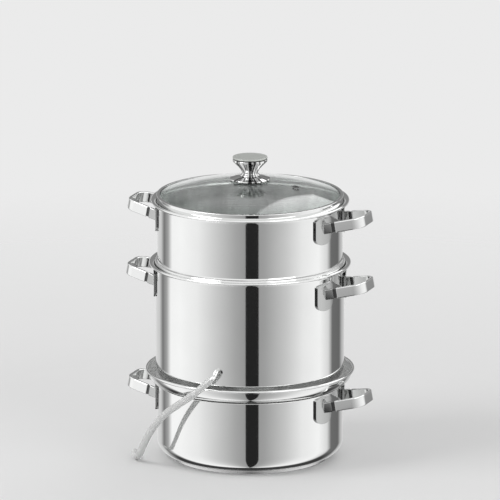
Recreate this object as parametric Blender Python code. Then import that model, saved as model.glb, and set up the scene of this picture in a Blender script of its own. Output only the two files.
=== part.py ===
"""Steam juicer: water pot, juice pot with chimney and hose, perforated basket, glass lid.

Metres, +Z up. The origin is on the floor under the middle of the water pot.
The loop handles lie on the X axis and the outlet spout points to -Y.
The pots are stacked as they stand on a stove: each pot's empty lifts straight up.
"""
import math

import bmesh
import bpy
from mathutils import Matrix, Vector

# Clearances and sheet
FIT_GAP = 0.0003            # between two pieces that are fixed to each other
SEAT_GAP = 0.0005           # between a pot and the seat that it lifts off
CUT_OVERRUN = 0.002         # how far every cutter runs past what it cuts
SHEET = 0.0008              # stainless sheet of pots and chimney
ROLL_RADIUS = 0.0014        # middle line of every rolled edge

# Water pot
WATER_RADIUS = 0.1306
WATER_HEIGHT = 0.128
WATER_CORNER = 0.021
WATER_GROOVE_HEIGHT = 0.106
SEAT_RADIUS = 0.117         # inner edge of the ledge that carries the juice pot
SEAT_FOLD_PITCH = 0.0026    # from the lower to the upper sheet of the ledge
WATER_LIP_RADIUS = 0.147
BASE_RADIUS = 0.112
BASE_THICKNESS = 0.005
BASE_EDGE = 0.0012

# Juice pot
JUICE_RADIUS = 0.1324
JUICE_HEIGHT = 0.174
JUICE_CORNER = 0.025
JUICE_SPLIT_ANGLE = -45     # degrees on the corner's arc, where the floor's node meets the wall's
RIM_FLARE = 0.008           # radius of the flare under a pot's rolled rim

# Steam chimney
CHIMNEY_RADIUS = 0.0210
CHIMNEY_HEIGHT = 0.068
CHIMNEY_FOOT_RADIUS = 0.032
CHIMNEY_FILLET = 0.005
CHIMNEY_RING_ROLL = 0.0024
CHIMNEY_FLOOR_HOLE = 0.0290

# Outlet spout and hose
SPOUT_HEIGHT = 0.0446       # above the underside of the juice pot
SPOUT_RADIUS = 0.0035
SPOUT_BORE_RADIUS = 0.0020
SPOUT_REACH = 0.0226        # from the wall to the tip, outwards
SPOUT_DROP = 0.0156         # from the wall to the tip, downwards
SPOUT_SWING = 0.011         # from the wall to the tip, sideways
SPOUT_STUB = 0.0052         # straight out of the wall, before the bend
SPOUT_ELBOW = 0.004         # straight run between the bend and the hose
SPOUT_SLEEVE = 0.012        # length of the straight end that the hose covers
HOSE_RADIUS = 0.005
HOSE_POINT_STEP = 0.021
HOSE_ROUTE = (
    (-0.026, -0.1622, 0.1225),
    (-0.047, -0.1605, 0.1070),
    (-0.073, -0.1490, 0.0870),
    (-0.098, -0.1315, 0.0600),
    (-0.116, -0.1150, 0.0335),
    (-0.130, -0.0980, 0.0125),
    (-0.141, -0.0810, 0.0053),
    (-0.149, -0.0630, 0.0053),
)

# Basket
BASKET_RADIUS = 0.1300      # upper half
BASKET_LOWER_RADIUS = 0.1275
BASKET_HEIGHT = 0.182
BASKET_CORNER = 0.042
BEAD_HEIGHT = 0.092         # middle of the bead above the underside
BEAD_ROLL = 0.0030
BEAD_STEP = 0.0020          # height of the slopes above and below the bead
COLUMNS = 52                # holes in each ring
HOLE_RADIUS = 0.0022
FIRST_ROW_DROP = 0.014      # first ring of holes under the bead's middle
ROW_PITCH = 0.0165
CORNER_ROWS = 1             # rings of holes on the rounded corner
WALL_ROWS = 3
FLOOR_RING_RADII = (0.076, 0.056)
FLOOR_RING_WIDTH = 0.012
FLOOR_HOLE_SPACING = 4      # columns from one floor hole to the next

# Loop handles, one pair on each pot
GRIP_HALF_SPAN = 0.042      # from the handle's middle to an arm, at the wall
GRIP_OUTER_HALF_SPAN = 0.026    # where an arm's line meets the outer bar's line
GRIP_REACH = 0.0465         # from the wall to the outer face
GRIP_HEIGHT = 0.015
GRIP_THICKNESS = 0.0048
GRIP_EDGE = 0.0014
GRIP_CORNER = 0.019
GRIP_RISE = 0.0095          # from the wall to the outer bar
FOOT_WIDTH = 0.034
FOOT_HEIGHT = 0.038
FOOT_THICKNESS = 0.0028
FOOT_EDGE = 0.0008
BOSS_REACH = 0.0125         # from the wall along the arm
NECK_LENGTH = 0.0040        # the dark waist between boss and grip
NECK_INSET = 0.0012
WATER_GRIP_DROP = 0.040     # from the rim down to the middle of the arms
JUICE_GRIP_DROP = 0.030
BASKET_GRIP_DROP = 0.025
FOOT_RISE_SHARE = 0.42      # of the foot's height that lies above the arm's middle
FOOT_COLUMNS = 6
FOOT_SIDE_LOW_SHARE = 0.45      # how far the pad reaches down at its sides
FOOT_SIDE_HIGH_SHARE = 0.82     # how far it reaches up there
FOOT_ROUND_POWER = 2.4

# Lid
LID_RADIUS = 0.131
BAND_HEIGHT = 0.0100
BAND_ROLL = 0.0015
BAND_WALL = 0.0014
BAND_SHELF = 0.0050         # how far the band reaches in under the glass
BAND_LIP = 0.0030           # how far the band reaches in over the glass
BAND_SHELF_HEIGHT = 0.0044
GLASS_THICKNESS = 0.0035
GLASS_RISE = 0.0225
SCREW_RADIUS = 0.0025
GLASS_HOLE_RADIUS = 0.0045
VENT_DISTANCE = 0.068
VENT_FLANGE_RADIUS = 0.0050
VENT_SHANK_RADIUS = 0.0031
VENT_BORE_RADIUS = 0.0015
VENT_FLANGE_HEIGHT = 0.0012

# Knob
GASKET_RADIUS = 0.0262
GASKET_THICKNESS = 0.0008
DISC_RADIUS = 0.0290
DISC_EDGE_HEIGHT = 0.0020
DISC_RISE = 0.0030
DISC_SHOULDER_SHARE = 0.6   # of the rise, half-way in from the disc's edge
KNOB_HEIGHT = 0.0240        # from the disc's crown to the knob's shoulder
KNOB_FOOT_RADIUS = 0.0145
KNOB_WAIST_RADIUS = 0.0113
KNOB_WAIST_HEIGHT = 0.0045
KNOB_RIM_RADIUS = 0.0245
KNOB_RIM_HEIGHT = 0.0030
KNOB_RECESS_RADIUS = 0.0180
KNOB_RECESS_DEPTH = 0.0020
KNOB_FLARE_SHARES = (0.5, 1.0)
KNOB_BOWL_SHARES = (0.25, 0.5, 0.75, 1.0)
KNOB_BOWL_POWER = 0.8
CAP_THICKNESS = 0.0022
CAP_EDGE = 0.0006
CAP_GROOVE = 0.0010         # the dark gap between the knob's rim and its cap
SCREW_DEPTH = 0.0120
SCREW_HEAD_RADIUS = 0.0060
SCREW_HEAD_HEIGHT = 0.0030
SCREW_CROWN_SHARE = 0.6     # of the head's radius that is flat below
WASHER_RADIUS = 0.0110
WASHER_THICKNESS = 0.0015

# How finely round things are divided
POT_SEGMENTS = 44
LID_SEGMENTS = 40
KNOB_SEGMENTS = 28
SMALL_SEGMENTS = 20
PIN_SEGMENTS = 12
CORNER_STEPS = 3
ROLL_STEPS = 3
GLASS_STEPS = 5
FILLET_STEPS = 2            # arcs that are too short to need more
RING_STEPS = 4              # the chimney's rolled ring
TUBE_ROUNDING = 2           # of spout, hose and bore
SECTION_CORNERS = 8         # of a grip's bevelled section
SHARP_ANGLE = math.radians(38)
AXIS_TOLERANCE = 0.000003
WELD_DISTANCE = 0.00003


# Places that follow from the sizes above
WATER_MID = WATER_RADIUS - SHEET / 2
JUICE_MID = JUICE_RADIUS - SHEET / 2
BASKET_MID = BASKET_RADIUS - SHEET / 2
BASKET_LOWER_MID = BASKET_LOWER_RADIUS - SHEET / 2
WATER_FLOOR = BASE_THICKNESS + FIT_GAP


def seat_rise(centre_distance, radius_sum):
    """Height of a round edge's middle above the middle of the round seat that carries it."""
    reach = radius_sum + SEAT_GAP
    return math.sqrt(reach * reach - centre_distance * centre_distance)


def juice_bottom():
    """Underside of the juice pot, whose rounded corner rests on the ledge's inner edge."""
    fold_radius = SEAT_FOLD_PITCH / 2 + SHEET / 2
    fold_height = WATER_GROOVE_HEIGHT + SEAT_FOLD_PITCH / 2
    sideways = (SEAT_RADIUS + fold_radius) - (JUICE_RADIUS - JUICE_CORNER)
    return fold_height + seat_rise(sideways, JUICE_CORNER + fold_radius) - JUICE_CORNER


def basket_bottom():
    """Underside of the basket, whose bead rests on the flare under the juice pot's rim."""
    flare_height = JUICE_RIM - SHEET / 2 - RIM_FLARE
    sideways = (JUICE_MID + RIM_FLARE) - BEAD_CENTRE
    radii = (RIM_FLARE + SHEET / 2) + (BEAD_ROLL + SHEET / 2)
    return flare_height + seat_rise(sideways, radii) - BEAD_HEIGHT


def lid_bottom():
    """Underside of the lid's band, which rests on the flare under the basket's rim."""
    flare_height = BASKET_RIM - SHEET / 2 - RIM_FLARE
    sideways = (BASKET_MID + RIM_FLARE) - (LID_RADIUS - BAND_ROLL)
    return flare_height + seat_rise(sideways, RIM_FLARE + SHEET / 2 + BAND_ROLL) - BAND_ROLL


BEAD_CENTRE = BASKET_MID + SHEET
JUICE_FLOOR = juice_bottom()
JUICE_RIM = JUICE_FLOOR + JUICE_HEIGHT
BASKET_FLOOR = basket_bottom()
BASKET_RIM = BASKET_FLOOR + BASKET_HEIGHT
LID_FLOOR = lid_bottom()
GLASS_RADIUS = LID_RADIUS - BAND_WALL - FIT_GAP
GLASS_EDGE = LID_FLOOR + BAND_SHELF_HEIGHT + FIT_GAP
GLASS_CURVE = (GLASS_RADIUS ** 2 + GLASS_RISE ** 2) / (2 * GLASS_RISE)
GLASS_CENTRE = GLASS_EDGE + GLASS_RISE - GLASS_CURVE


def clear_scene():
    """Remove whatever objects the open file holds."""
    for thing in list(bpy.data.objects):
        bpy.data.objects.remove(thing, do_unlink=True)


def make_material(name, colour, metallic, roughness, transmission=0.0):
    """A Principled material with one plain colour."""
    material = bpy.data.materials.new(name)
    material.use_nodes = True
    shader = material.node_tree.nodes["Principled BSDF"]
    shader.inputs["Base Color"].default_value = (*colour, 1.0)
    shader.inputs["Metallic"].default_value = metallic
    shader.inputs["Roughness"].default_value = roughness
    shader.inputs["Transmission Weight"].default_value = transmission
    return material


def polished_steel(name):
    return make_material(name, (0.72, 0.73, 0.73), 1.0, 0.12)


def add_object(name, mesh, material, parent):
    """Put a mesh into the scene as one smooth-shaded piece."""
    mesh.materials.append(material)
    mesh.shade_smooth()
    mesh.set_sharp_from_angle(angle=SHARP_ANGLE)
    thing = bpy.data.objects.new(name, mesh)
    bpy.context.scene.collection.objects.link(thing)
    thing.parent = parent
    if parent is not None:
        thing.matrix_parent_inverse = parent.matrix_world.inverted()
    return thing


def add_empty(name, height, parent=None):
    """An empty on the pots' axis, which carries one pot and lifts with it."""
    empty = bpy.data.objects.new(name, None)
    empty.location = (0, 0, height)
    bpy.context.scene.collection.objects.link(empty)
    bpy.context.view_layer.update()
    if parent is not None:
        empty.parent = parent
        empty.matrix_parent_inverse = parent.matrix_world.inverted()
        bpy.context.view_layer.update()
    return empty


def finish_mesh(name, bm):
    """Turn a bmesh into a mesh whose faces point outwards."""
    bmesh.ops.recalc_face_normals(bm, faces=bm.faces)
    mesh = bpy.data.meshes.new(name)
    bm.to_mesh(mesh)
    bm.free()
    return mesh


def arc(centre, radius, start, end, steps):
    """Points of an arc in the profile plane; angles in degrees from the outward direction."""
    points = []
    for step in range(steps + 1):
        angle = math.radians(start + (end - start) * step / steps)
        points.append((centre[0] + radius * math.cos(angle), centre[1] + radius * math.sin(angle)))
    return points


def offset_line(line, distance):
    """A profile line moved sideways, to the right of its direction, with mitred corners."""
    moved = []
    for index, point in enumerate(line):
        here = Vector(point)
        before = here - Vector(line[index - 1]) if index > 0 else None
        after = Vector(line[index + 1]) - here if index + 1 < len(line) else None
        sides = [Vector((run.y, -run.x)).normalized() for run in (before, after) if run is not None]
        mitre = sum(sides, Vector((0, 0))).normalized()
        moved.append(tuple(here + mitre * (distance / mitre.dot(sides[0]))))
    return moved


def sheet_outline(line, thickness=SHEET):
    """Closed outline of a bent sheet, from the middle line of its section."""
    return offset_line(line, thickness / 2) + offset_line(line, -thickness / 2)[::-1]


def turn_rings(bm, outline, segments):
    """One ring of vertices for each outline point; a point on the axis gives one vertex."""
    rings = []
    for radius, height in outline:
        if radius < AXIS_TOLERANCE:
            rings.append([bm.verts.new((0, 0, height))])
            continue
        ring = []
        for segment in range(segments):
            angle = 2 * math.pi * segment / segments
            ring.append(bm.verts.new((radius * math.cos(angle), radius * math.sin(angle), height)))
        rings.append(ring)
    return rings


def cell_corners(lower, upper, segment):
    """The corners of one face between two rings."""
    following = (segment + 1) % max(len(lower), len(upper))
    if len(lower) == 1:
        return [lower[0], upper[following], upper[segment]]
    if len(upper) == 1:
        return [lower[segment], lower[following], upper[0]]
    return [lower[segment], lower[following], upper[following], upper[segment]]


def join_rings(bm, lower, upper):
    """Faces all the way round between two rings."""
    if len(lower) == 1 and len(upper) == 1:
        return
    for segment in range(max(len(lower), len(upper))):
        bm.faces.new(cell_corners(lower, upper, segment))


def turned_mesh(name, outline, segments):
    """A closed body turned round the Z axis from a closed outline."""
    bm = bmesh.new()
    rings = turn_rings(bm, outline, segments)
    for index, ring in enumerate(rings):
        join_rings(bm, ring, rings[(index + 1) % len(rings)])
    return finish_mesh(name, bm)


def turned(name, outline, segments, material, parent):
    return add_object(name, turned_mesh(name, outline, segments), material, parent)


def add_cutter(name, mesh):
    """A hidden body that a Boolean takes away from a piece."""
    cutter = bpy.data.objects.new(name, mesh)
    bpy.context.scene.collection.objects.link(cutter)
    cutter.hide_render = True
    cutter.display_type = "WIRE"
    return cutter


def cut_away(thing, cutter):
    boolean = thing.modifiers.new("cut_" + cutter.name, "BOOLEAN")
    boolean.operation = "DIFFERENCE"
    boolean.solver = "EXACT"
    boolean.object = cutter


def rod_mesh(name, start, end, radius, segments):
    """A plain round rod between two points."""
    run = Vector(end) - Vector(start)
    bm = bmesh.new()
    turn = run.to_track_quat("Z", "Y").to_matrix().to_4x4()
    place = Matrix.Translation((Vector(start) + Vector(end)) / 2) @ turn
    bmesh.ops.create_cone(bm, cap_ends=True, segments=segments, radius1=radius, radius2=radius,
                          depth=run.length, matrix=place)
    return finish_mesh(name, bm)


def rim_line(mid_radius, rim_height):
    """Middle line of a flared and rolled rim, from the top of the wall to the roll's end."""
    top = rim_height - SHEET / 2
    flare = arc((mid_radius + RIM_FLARE, top - RIM_FLARE), RIM_FLARE, 180, 90, CORNER_STEPS)
    roll = arc((mid_radius + RIM_FLARE, top - ROLL_RADIUS), ROLL_RADIUS, 90, -70, ROLL_STEPS)
    return flare + roll[1:]


def water_line():
    """Middle line of the water pot: floor, corner, wall, seat fold, collar and lip."""
    floor = WATER_FLOOR + SHEET / 2
    corner = WATER_CORNER - SHEET / 2
    line = [(0, floor)]
    line += arc((WATER_MID - corner, floor + corner), corner, -90, 0, CORNER_STEPS)
    line += [(WATER_MID, WATER_GROOVE_HEIGHT)]
    fold = (SEAT_RADIUS + SHEET / 2 + SEAT_FOLD_PITCH / 2, WATER_GROOVE_HEIGHT + SEAT_FOLD_PITCH / 2)
    line += arc(fold, SEAT_FOLD_PITCH / 2, 270, 90, ROLL_STEPS)
    lip_mid = WATER_LIP_RADIUS - SHEET / 2 - 2 * ROLL_RADIUS
    collar_top = WATER_HEIGHT - SHEET / 2 - ROLL_RADIUS
    collar_foot = WATER_GROOVE_HEIGHT + SEAT_FOLD_PITCH
    for step in range(CORNER_STEPS + 1):
        angle = math.pi / 2 * step / CORNER_STEPS
        outward = (lip_mid - WATER_MID) * math.sin(angle)
        upward = (collar_top - collar_foot) * (1 - math.cos(angle))
        line.append((WATER_MID + outward, collar_foot + upward))
    line += arc((lip_mid + ROLL_RADIUS, collar_top), ROLL_RADIUS, 180, -50, ROLL_STEPS)[1:]
    return line


def water_pot(parent):
    """The pot that holds the water, with its encapsulated base plate."""
    steel = polished_steel("water_pot_steel")
    turned("water_pot_shell", sheet_outline(water_line()), POT_SEGMENTS, steel, parent)
    plate = [(0, 0), (BASE_RADIUS - BASE_EDGE, 0), (BASE_RADIUS, BASE_EDGE),
             (BASE_RADIUS, BASE_THICKNESS - BASE_EDGE), (BASE_RADIUS - BASE_EDGE, BASE_THICKNESS),
             (0, BASE_THICKNESS)]
    turned("water_pot_base_plate", plate, POT_SEGMENTS,
           make_material("base_plate_steel", (0.62, 0.63, 0.64), 1.0, 0.28), parent)
    add_handles("water_pot", WATER_RADIUS, WATER_HEIGHT - WATER_GRIP_DROP, parent)


def juice_lines():
    """Middle lines of the juice pot's floor with half its corner, of its wall, and of its rim."""
    floor = JUICE_FLOOR + SHEET / 2
    corner = JUICE_CORNER - SHEET / 2
    centre = (JUICE_MID - corner, floor + corner)
    pan_end = JUICE_SPLIT_ANGLE - math.degrees(FIT_GAP / corner)
    pan = [(CHIMNEY_FLOOR_HOLE, floor)] + arc(centre, corner, -90, pan_end, FILLET_STEPS)
    rim = rim_line(JUICE_MID, JUICE_RIM)
    wall = arc(centre, corner, JUICE_SPLIT_ANGLE, 0, FILLET_STEPS)
    wall.append((JUICE_MID, rim[0][1] - FIT_GAP))
    return pan, wall, rim


def spout_points():
    """The spout's path: out of the wall, round a bend, and straight under the hose."""
    base = Vector((0, -JUICE_RADIUS, JUICE_FLOOR + SPOUT_HEIGHT))
    tip = base + Vector((-SPOUT_SWING, -SPOUT_REACH, -SPOUT_DROP))
    aim = (Vector(HOSE_ROUTE[0]) - tip).normalized()
    sleeve = tip - aim * SPOUT_SLEEVE
    root = base + Vector((0, SHEET + FIT_GAP, 0))
    stub = base - Vector((0, SPOUT_STUB, 0))
    return [root, stub, sleeve - aim * SPOUT_ELBOW, sleeve, tip]


def smooth_path(points, step):
    """Evenly spaced points on a smooth curve through the given points."""
    points = [Vector(point) for point in points]
    ends = [points[0] * 2 - points[1]] + points + [points[-1] * 2 - points[-2]]
    path = [points[0]]
    for index in range(1, len(ends) - 2):
        before, here, there, after = ends[index - 1:index + 3]
        count = max(1, round((there - here).length / step))
        for part in range(1, count + 1):
            share = part / count
            pull = (here * 2 + (there - before) * share
                    + (before * 2 - here * 5 + there * 4 - after) * share ** 2
                    + (here * 3 - before - there * 3 + after) * share ** 3)
            path.append(pull / 2)
    return path


def tube_mesh(name, path, radius):
    """A round tube with filled ends along a path."""
    curve = bpy.data.curves.new(name, "CURVE")
    curve.dimensions = "3D"
    curve.bevel_depth = radius
    curve.bevel_resolution = TUBE_ROUNDING
    curve.use_fill_caps = True
    spline = curve.splines.new("POLY")
    spline.points.add(len(path) - 1)
    for point, place in zip(spline.points, path):
        point.co = (*place, 1)
    holder = bpy.data.objects.new(name + "_path", curve)
    bpy.context.scene.collection.objects.link(holder)
    bpy.context.view_layer.update()
    mesh = bpy.data.meshes.new_from_object(holder.evaluated_get(bpy.context.evaluated_depsgraph_get()))
    bpy.data.objects.remove(holder, do_unlink=True)
    return weld_tube(mesh)


def weld_tube(mesh):
    """Join a tube's caps to its side, so that it is one closed body."""
    bm = bmesh.new()
    bm.from_mesh(mesh)
    bmesh.ops.remove_doubles(bm, verts=bm.verts, dist=WELD_DISTANCE)
    bmesh.ops.recalc_face_normals(bm, faces=bm.faces)
    bm.to_mesh(mesh)
    bm.free()
    mesh.materials.clear()
    return mesh


def outlet(parent, shell):
    """The spout through the juice pot's wall, and the hose pushed over its end."""
    path = spout_points()
    spout_path = smooth_path(path[:-1], SPOUT_RADIUS) + path[-1:]
    spout = add_object("outlet_spout", tube_mesh("outlet_spout", spout_path, SPOUT_RADIUS),
                       polished_steel("spout_steel"), parent)
    run_in = (spout_path[1] - spout_path[0]).normalized() * CUT_OVERRUN
    run_out = (spout_path[-1] - spout_path[-2]).normalized() * CUT_OVERRUN
    bore_path = [spout_path[0] - run_in] + spout_path + [spout_path[-1] + run_out]
    cut_away(spout, add_cutter("spout_bore", tube_mesh("spout_bore", bore_path, SPOUT_BORE_RADIUS)))
    wall_start = path[0] + Vector((0, CUT_OVERRUN, 0))
    wall_end = path[0] - Vector((0, SHEET + 2 * CUT_OVERRUN, 0))
    cut_away(shell, add_cutter("spout_hole", rod_mesh("spout_hole", wall_start, wall_end,
                                                      SPOUT_RADIUS + FIT_GAP, PIN_SEGMENTS)))
    sleeve, tip = path[-2], path[-1]
    aim = (tip - sleeve).normalized()
    hose_path = [sleeve] + smooth_path([tip] + list(HOSE_ROUTE), HOSE_POINT_STEP)
    hose = add_object("juice_hose", tube_mesh("juice_hose", hose_path, HOSE_RADIUS),
                      make_material("clear_silicone", (0.86, 0.87, 0.86), 0.0, 0.25, 0.6), parent)
    cut_away(hose, add_cutter("hose_socket", rod_mesh("hose_socket", sleeve - aim * CUT_OVERRUN,
                                                      tip + aim * FIT_GAP, SPOUT_RADIUS + FIT_GAP,
                                                      SMALL_SEGMENTS)))


def chimney(parent):
    """The steam chimney, welded to the juice pot's floor by its flange."""
    foot = JUICE_FLOOR + SHEET + FIT_GAP + SHEET / 2
    neck = CHIMNEY_RADIUS - SHEET / 2
    top = JUICE_FLOOR + CHIMNEY_HEIGHT - SHEET / 2
    ring = (neck + CHIMNEY_RING_ROLL, top - CHIMNEY_RING_ROLL)
    line = [(CHIMNEY_FOOT_RADIUS, foot)]
    line += arc((neck + CHIMNEY_FILLET, foot + CHIMNEY_FILLET), CHIMNEY_FILLET, 270, 180, FILLET_STEPS)
    line += arc(ring, CHIMNEY_RING_ROLL, 180, -60, RING_STEPS)
    turned("steam_chimney", sheet_outline(line), KNOB_SEGMENTS, polished_steel("chimney_steel"), parent)


def juice_pot(parent):
    """The pot that collects the juice, with its chimney, spout and hose.

    Its one sheet is three nodes, so that the collision made from them stays open.
    """
    pan, wall, rim = (sheet_outline(line) for line in juice_lines())
    turned("juice_pot_floor", pan, POT_SEGMENTS, polished_steel("juice_floor_steel"), parent)
    shell = turned("juice_pot_shell", wall, POT_SEGMENTS, polished_steel("juice_wall_steel"), parent)
    turned("juice_pot_rim", rim, POT_SEGMENTS, polished_steel("juice_rim_steel"), parent)
    chimney(parent)
    outlet(parent, shell)
    add_handles("juice_pot", JUICE_RADIUS, JUICE_RIM - JUICE_GRIP_DROP, parent)


def basket_line():
    """Middle line of the basket, and the places in it of the bands that are pierced."""
    floor = BASKET_FLOOR + SHEET / 2
    corner = BASKET_CORNER - SHEET / 2
    bead = BASKET_FLOOR + BEAD_HEIGHT
    centre = (BASKET_LOWER_MID - corner, floor + corner)
    line = [(0, floor)]
    pierced = []
    for radius in reversed(FLOOR_RING_RADII):
        line.append((radius - FLOOR_RING_WIDTH / 2, floor))
        pierced.append((len(line) - 1, FLOOR_HOLE_SPACING))
        line.append((radius + FLOOR_RING_WIDTH / 2, floor))
    row_edges = [bead - FIRST_ROW_DROP + ROW_PITCH / 2 - ROW_PITCH * row
                 for row in range(WALL_ROWS + CORNER_ROWS + 1)]
    corner_edge = math.degrees(math.asin((row_edges[-1] - centre[1]) / corner))
    line += arc(centre, corner, -90, corner_edge, FILLET_STEPS)
    for height in reversed(row_edges[:-1]):
        drop = min(0, height - centre[1])
        pierced.append((len(line) - 1, 1))
        line.append((centre[0] + math.sqrt(corner ** 2 - drop ** 2), height))
    line.append((BASKET_LOWER_MID, bead - BEAD_ROLL - BEAD_STEP))
    line += arc((BEAD_CENTRE, bead), BEAD_ROLL, -90, 90, ROLL_STEPS)
    line.append((BASKET_MID, bead + BEAD_ROLL + BEAD_STEP))
    return line + rim_line(BASKET_MID, BASKET_RIM), pierced


def hole_ring(bm, corners):
    """The hole in the middle of a four-cornered cell, with one point towards each corner."""
    places = [corner.co for corner in corners]
    middle = sum(places, Vector()) / len(places)
    along = (places[1] - places[0] + places[2] - places[3]).normalized()
    across = (places[3] - places[0] + places[2] - places[1]).normalized()
    ring = []
    for quarter in range(len(corners)):
        angle = math.pi * (5 / 4 + quarter / 2)
        offset = along * math.cos(angle) + across * math.sin(angle)
        ring.append(bm.verts.new(middle + offset * HOLE_RADIUS))
    return ring


def pierce_cell(bm, front, back):
    """A hole through the sheet between two matching cells."""
    front_hole = hole_ring(bm, front)
    back_hole = hole_ring(bm, back)
    for side in range(len(front)):
        other = (side + 1) % len(front)
        bm.faces.new([front[side], front[other], front_hole[other], front_hole[side]])
        bm.faces.new([back[side], back[other], back_hole[other], back_hole[side]])
        bm.faces.new([front_hole[side], front_hole[other], back_hole[other], back_hole[side]])


def basket_mesh():
    """The basket's sheet, turned like the pots, with rings of holes."""
    line, pierced = basket_line()
    bm = bmesh.new()
    front = turn_rings(bm, offset_line(line, SHEET / 2), COLUMNS)
    back = turn_rings(bm, offset_line(line, -SHEET / 2), COLUMNS)
    spacing = dict(pierced)
    for index in range(len(line) - 1):
        for segment in range(COLUMNS):
            front_cell = cell_corners(front[index], front[index + 1], segment)
            back_cell = cell_corners(back[index], back[index + 1], segment)
            if index in spacing and segment % spacing[index] == 0:
                pierce_cell(bm, front_cell, back_cell)
            else:
                bm.faces.new(front_cell)
                bm.faces.new(back_cell)
    join_rings(bm, front[-1], back[-1])
    return finish_mesh("basket_shell", bm)


def basket(parent):
    """The perforated basket that holds the fruit."""
    add_object("basket_shell", basket_mesh(), polished_steel("basket_steel"), parent)
    add_handles("basket", BASKET_RADIUS, BASKET_RIM - BASKET_GRIP_DROP, parent)


def arm_line(radius):
    """Where an arm starts on the wall, and its direction, on the handle's +Y side."""
    start = Vector((math.sqrt(radius ** 2 - GRIP_HALF_SPAN ** 2), GRIP_HALF_SPAN))
    corner = Vector((radius + GRIP_REACH - GRIP_THICKNESS / 2, GRIP_OUTER_HALF_SPAN))
    return start, (corner - start).normalized(), corner


def rise_at(radius, reach):
    """How far the grip has risen at a distance from the pots' axis."""
    start, _, corner = arm_line(radius)
    return GRIP_RISE * (reach - start.x) / (corner.x - start.x)


def section_ring(bm, centre, side, height, thickness, edge, rise):
    """Eight points of a bar's section; side is the level direction across the bar."""
    ring = []
    for across, up in ((1, 1 - edge / height * 2), (1 - edge / thickness * 2, 1),
                       (edge / thickness * 2 - 1, 1), (-1, 1 - edge / height * 2),
                       (-1, edge / height * 2 - 1), (edge / thickness * 2 - 1, -1),
                       (1 - edge / thickness * 2, -1), (1, edge / height * 2 - 1)):
        place = centre + side * (across * thickness / 2)
        ring.append(bm.verts.new((place.x, place.y, rise(place.x) + up * height / 2)))
    return ring


def bar_mesh(name, stations, rise):
    """A bar through stations, each a place, a side direction, a height, a thickness and an edge."""
    bm = bmesh.new()
    rings = [section_ring(bm, *station, rise) for station in stations]
    for ring, following in zip(rings, rings[1:]):
        join_rings(bm, ring, following)
    bm.faces.new(rings[0])
    bm.faces.new(rings[-1])
    return finish_mesh(name, bm)


def grip_stations(radius):
    """Stations of the loop, from one neck round the outer bar to the other neck."""
    start, along, corner = arm_line(radius)
    turn = math.pi / 2 + math.atan2(along.y, along.x)
    tangent = GRIP_CORNER * math.tan(turn / 2)
    pivot = Vector((corner.x - GRIP_CORNER, corner.y - tangent))
    first = start + along * (BOSS_REACH + NECK_LENGTH + FIT_GAP)
    stations = [(first, math.atan2(along.y, along.x))]
    for step in range(CORNER_STEPS + 1):
        angle = math.atan2(along.y, along.x) - turn * step / CORNER_STEPS
        outward = Vector((-math.sin(angle), math.cos(angle)))
        stations.append((pivot + outward * GRIP_CORNER, angle))
    mirrored = [(Vector((place.x, -place.y)), -math.pi - angle) for place, angle in reversed(stations)]
    path = []
    for place, angle in stations + mirrored:
        side = Vector((-math.sin(angle), math.cos(angle)))
        path.append((place, side, GRIP_HEIGHT, GRIP_THICKNESS, GRIP_EDGE))
    return path


def foot_pad(bm, radius, centre_angle, height):
    """A shield-shaped pad that follows the wall, rounded below."""
    back = radius + FIT_GAP
    low_edge = back + FOOT_EDGE
    middle = height + FOOT_HEIGHT * (FOOT_RISE_SHARE - 1 / 2)
    rows = []
    for column in range(FOOT_COLUMNS + 1):
        share = 2 * column / FOOT_COLUMNS - 1
        angle = centre_angle + share * FOOT_WIDTH / 2 / radius
        bulge = math.sqrt(max(0, 1 - abs(share) ** FOOT_ROUND_POWER))
        low = middle - FOOT_HEIGHT / 2 * (FOOT_SIDE_LOW_SHARE + (1 - FOOT_SIDE_LOW_SHARE) * bulge)
        high = middle + FOOT_HEIGHT / 2 * (FOOT_SIDE_HIGH_SHARE + (1 - FOOT_SIDE_HIGH_SHARE) * bulge)
        crown = back + FOOT_THICKNESS if 0 < column < FOOT_COLUMNS else low_edge
        ring = []
        shoulder = max(low_edge, crown - FOOT_EDGE)
        for reach, level in ((back, low), (shoulder, low), (crown, low + FOOT_EDGE),
                             (crown, high - FOOT_EDGE), (shoulder, high), (back, high)):
            ring.append(bm.verts.new((reach * math.cos(angle), reach * math.sin(angle), level)))
        rows.append(ring)
    for ring, following in zip(rows, rows[1:]):
        join_rings(bm, ring, following)
    bm.faces.new(rows[0])
    bm.faces.new(rows[-1])


def slide_to_radius(place, direction, radius):
    """Where a line through a place meets the circle round the pots' axis."""
    along = place.dot(direction)
    return place + direction * (math.sqrt(along ** 2 - place.length_squared + radius ** 2) - along)


def foot_mesh(name, radius, height):
    """A welded pad with the boss and neck that hold one arm of the grip."""
    start, along, _ = arm_line(radius)
    side = Vector((-along.y, along.x))

    def rise(reach):
        return height + rise_at(radius, reach)

    inner = (start + along * (FOOT_THICKNESS / 2), side, GRIP_HEIGHT, GRIP_THICKNESS, GRIP_EDGE)
    outer = (start + along * BOSS_REACH, side, GRIP_HEIGHT, GRIP_THICKNESS, GRIP_EDGE)
    slim = (side, GRIP_HEIGHT - 2 * NECK_INSET, GRIP_THICKNESS - 2 * NECK_INSET, GRIP_EDGE / 2)
    neck = (start + along * BOSS_REACH, *slim)
    neck_end = (start + along * (BOSS_REACH + NECK_LENGTH), *slim)
    boss = bar_mesh(name + "_boss", [inner, outer, neck, neck_end], rise)
    root_radius = radius + FIT_GAP + FOOT_THICKNESS / 2
    for corner in range(SECTION_CORNERS):
        place = boss.vertices[corner].co
        place.xy = slide_to_radius(place.xy, along, root_radius)
    bm = bmesh.new()
    foot_pad(bm, radius, math.atan2(start.y, start.x), height)
    return finish_mesh(name, bm), boss


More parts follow.
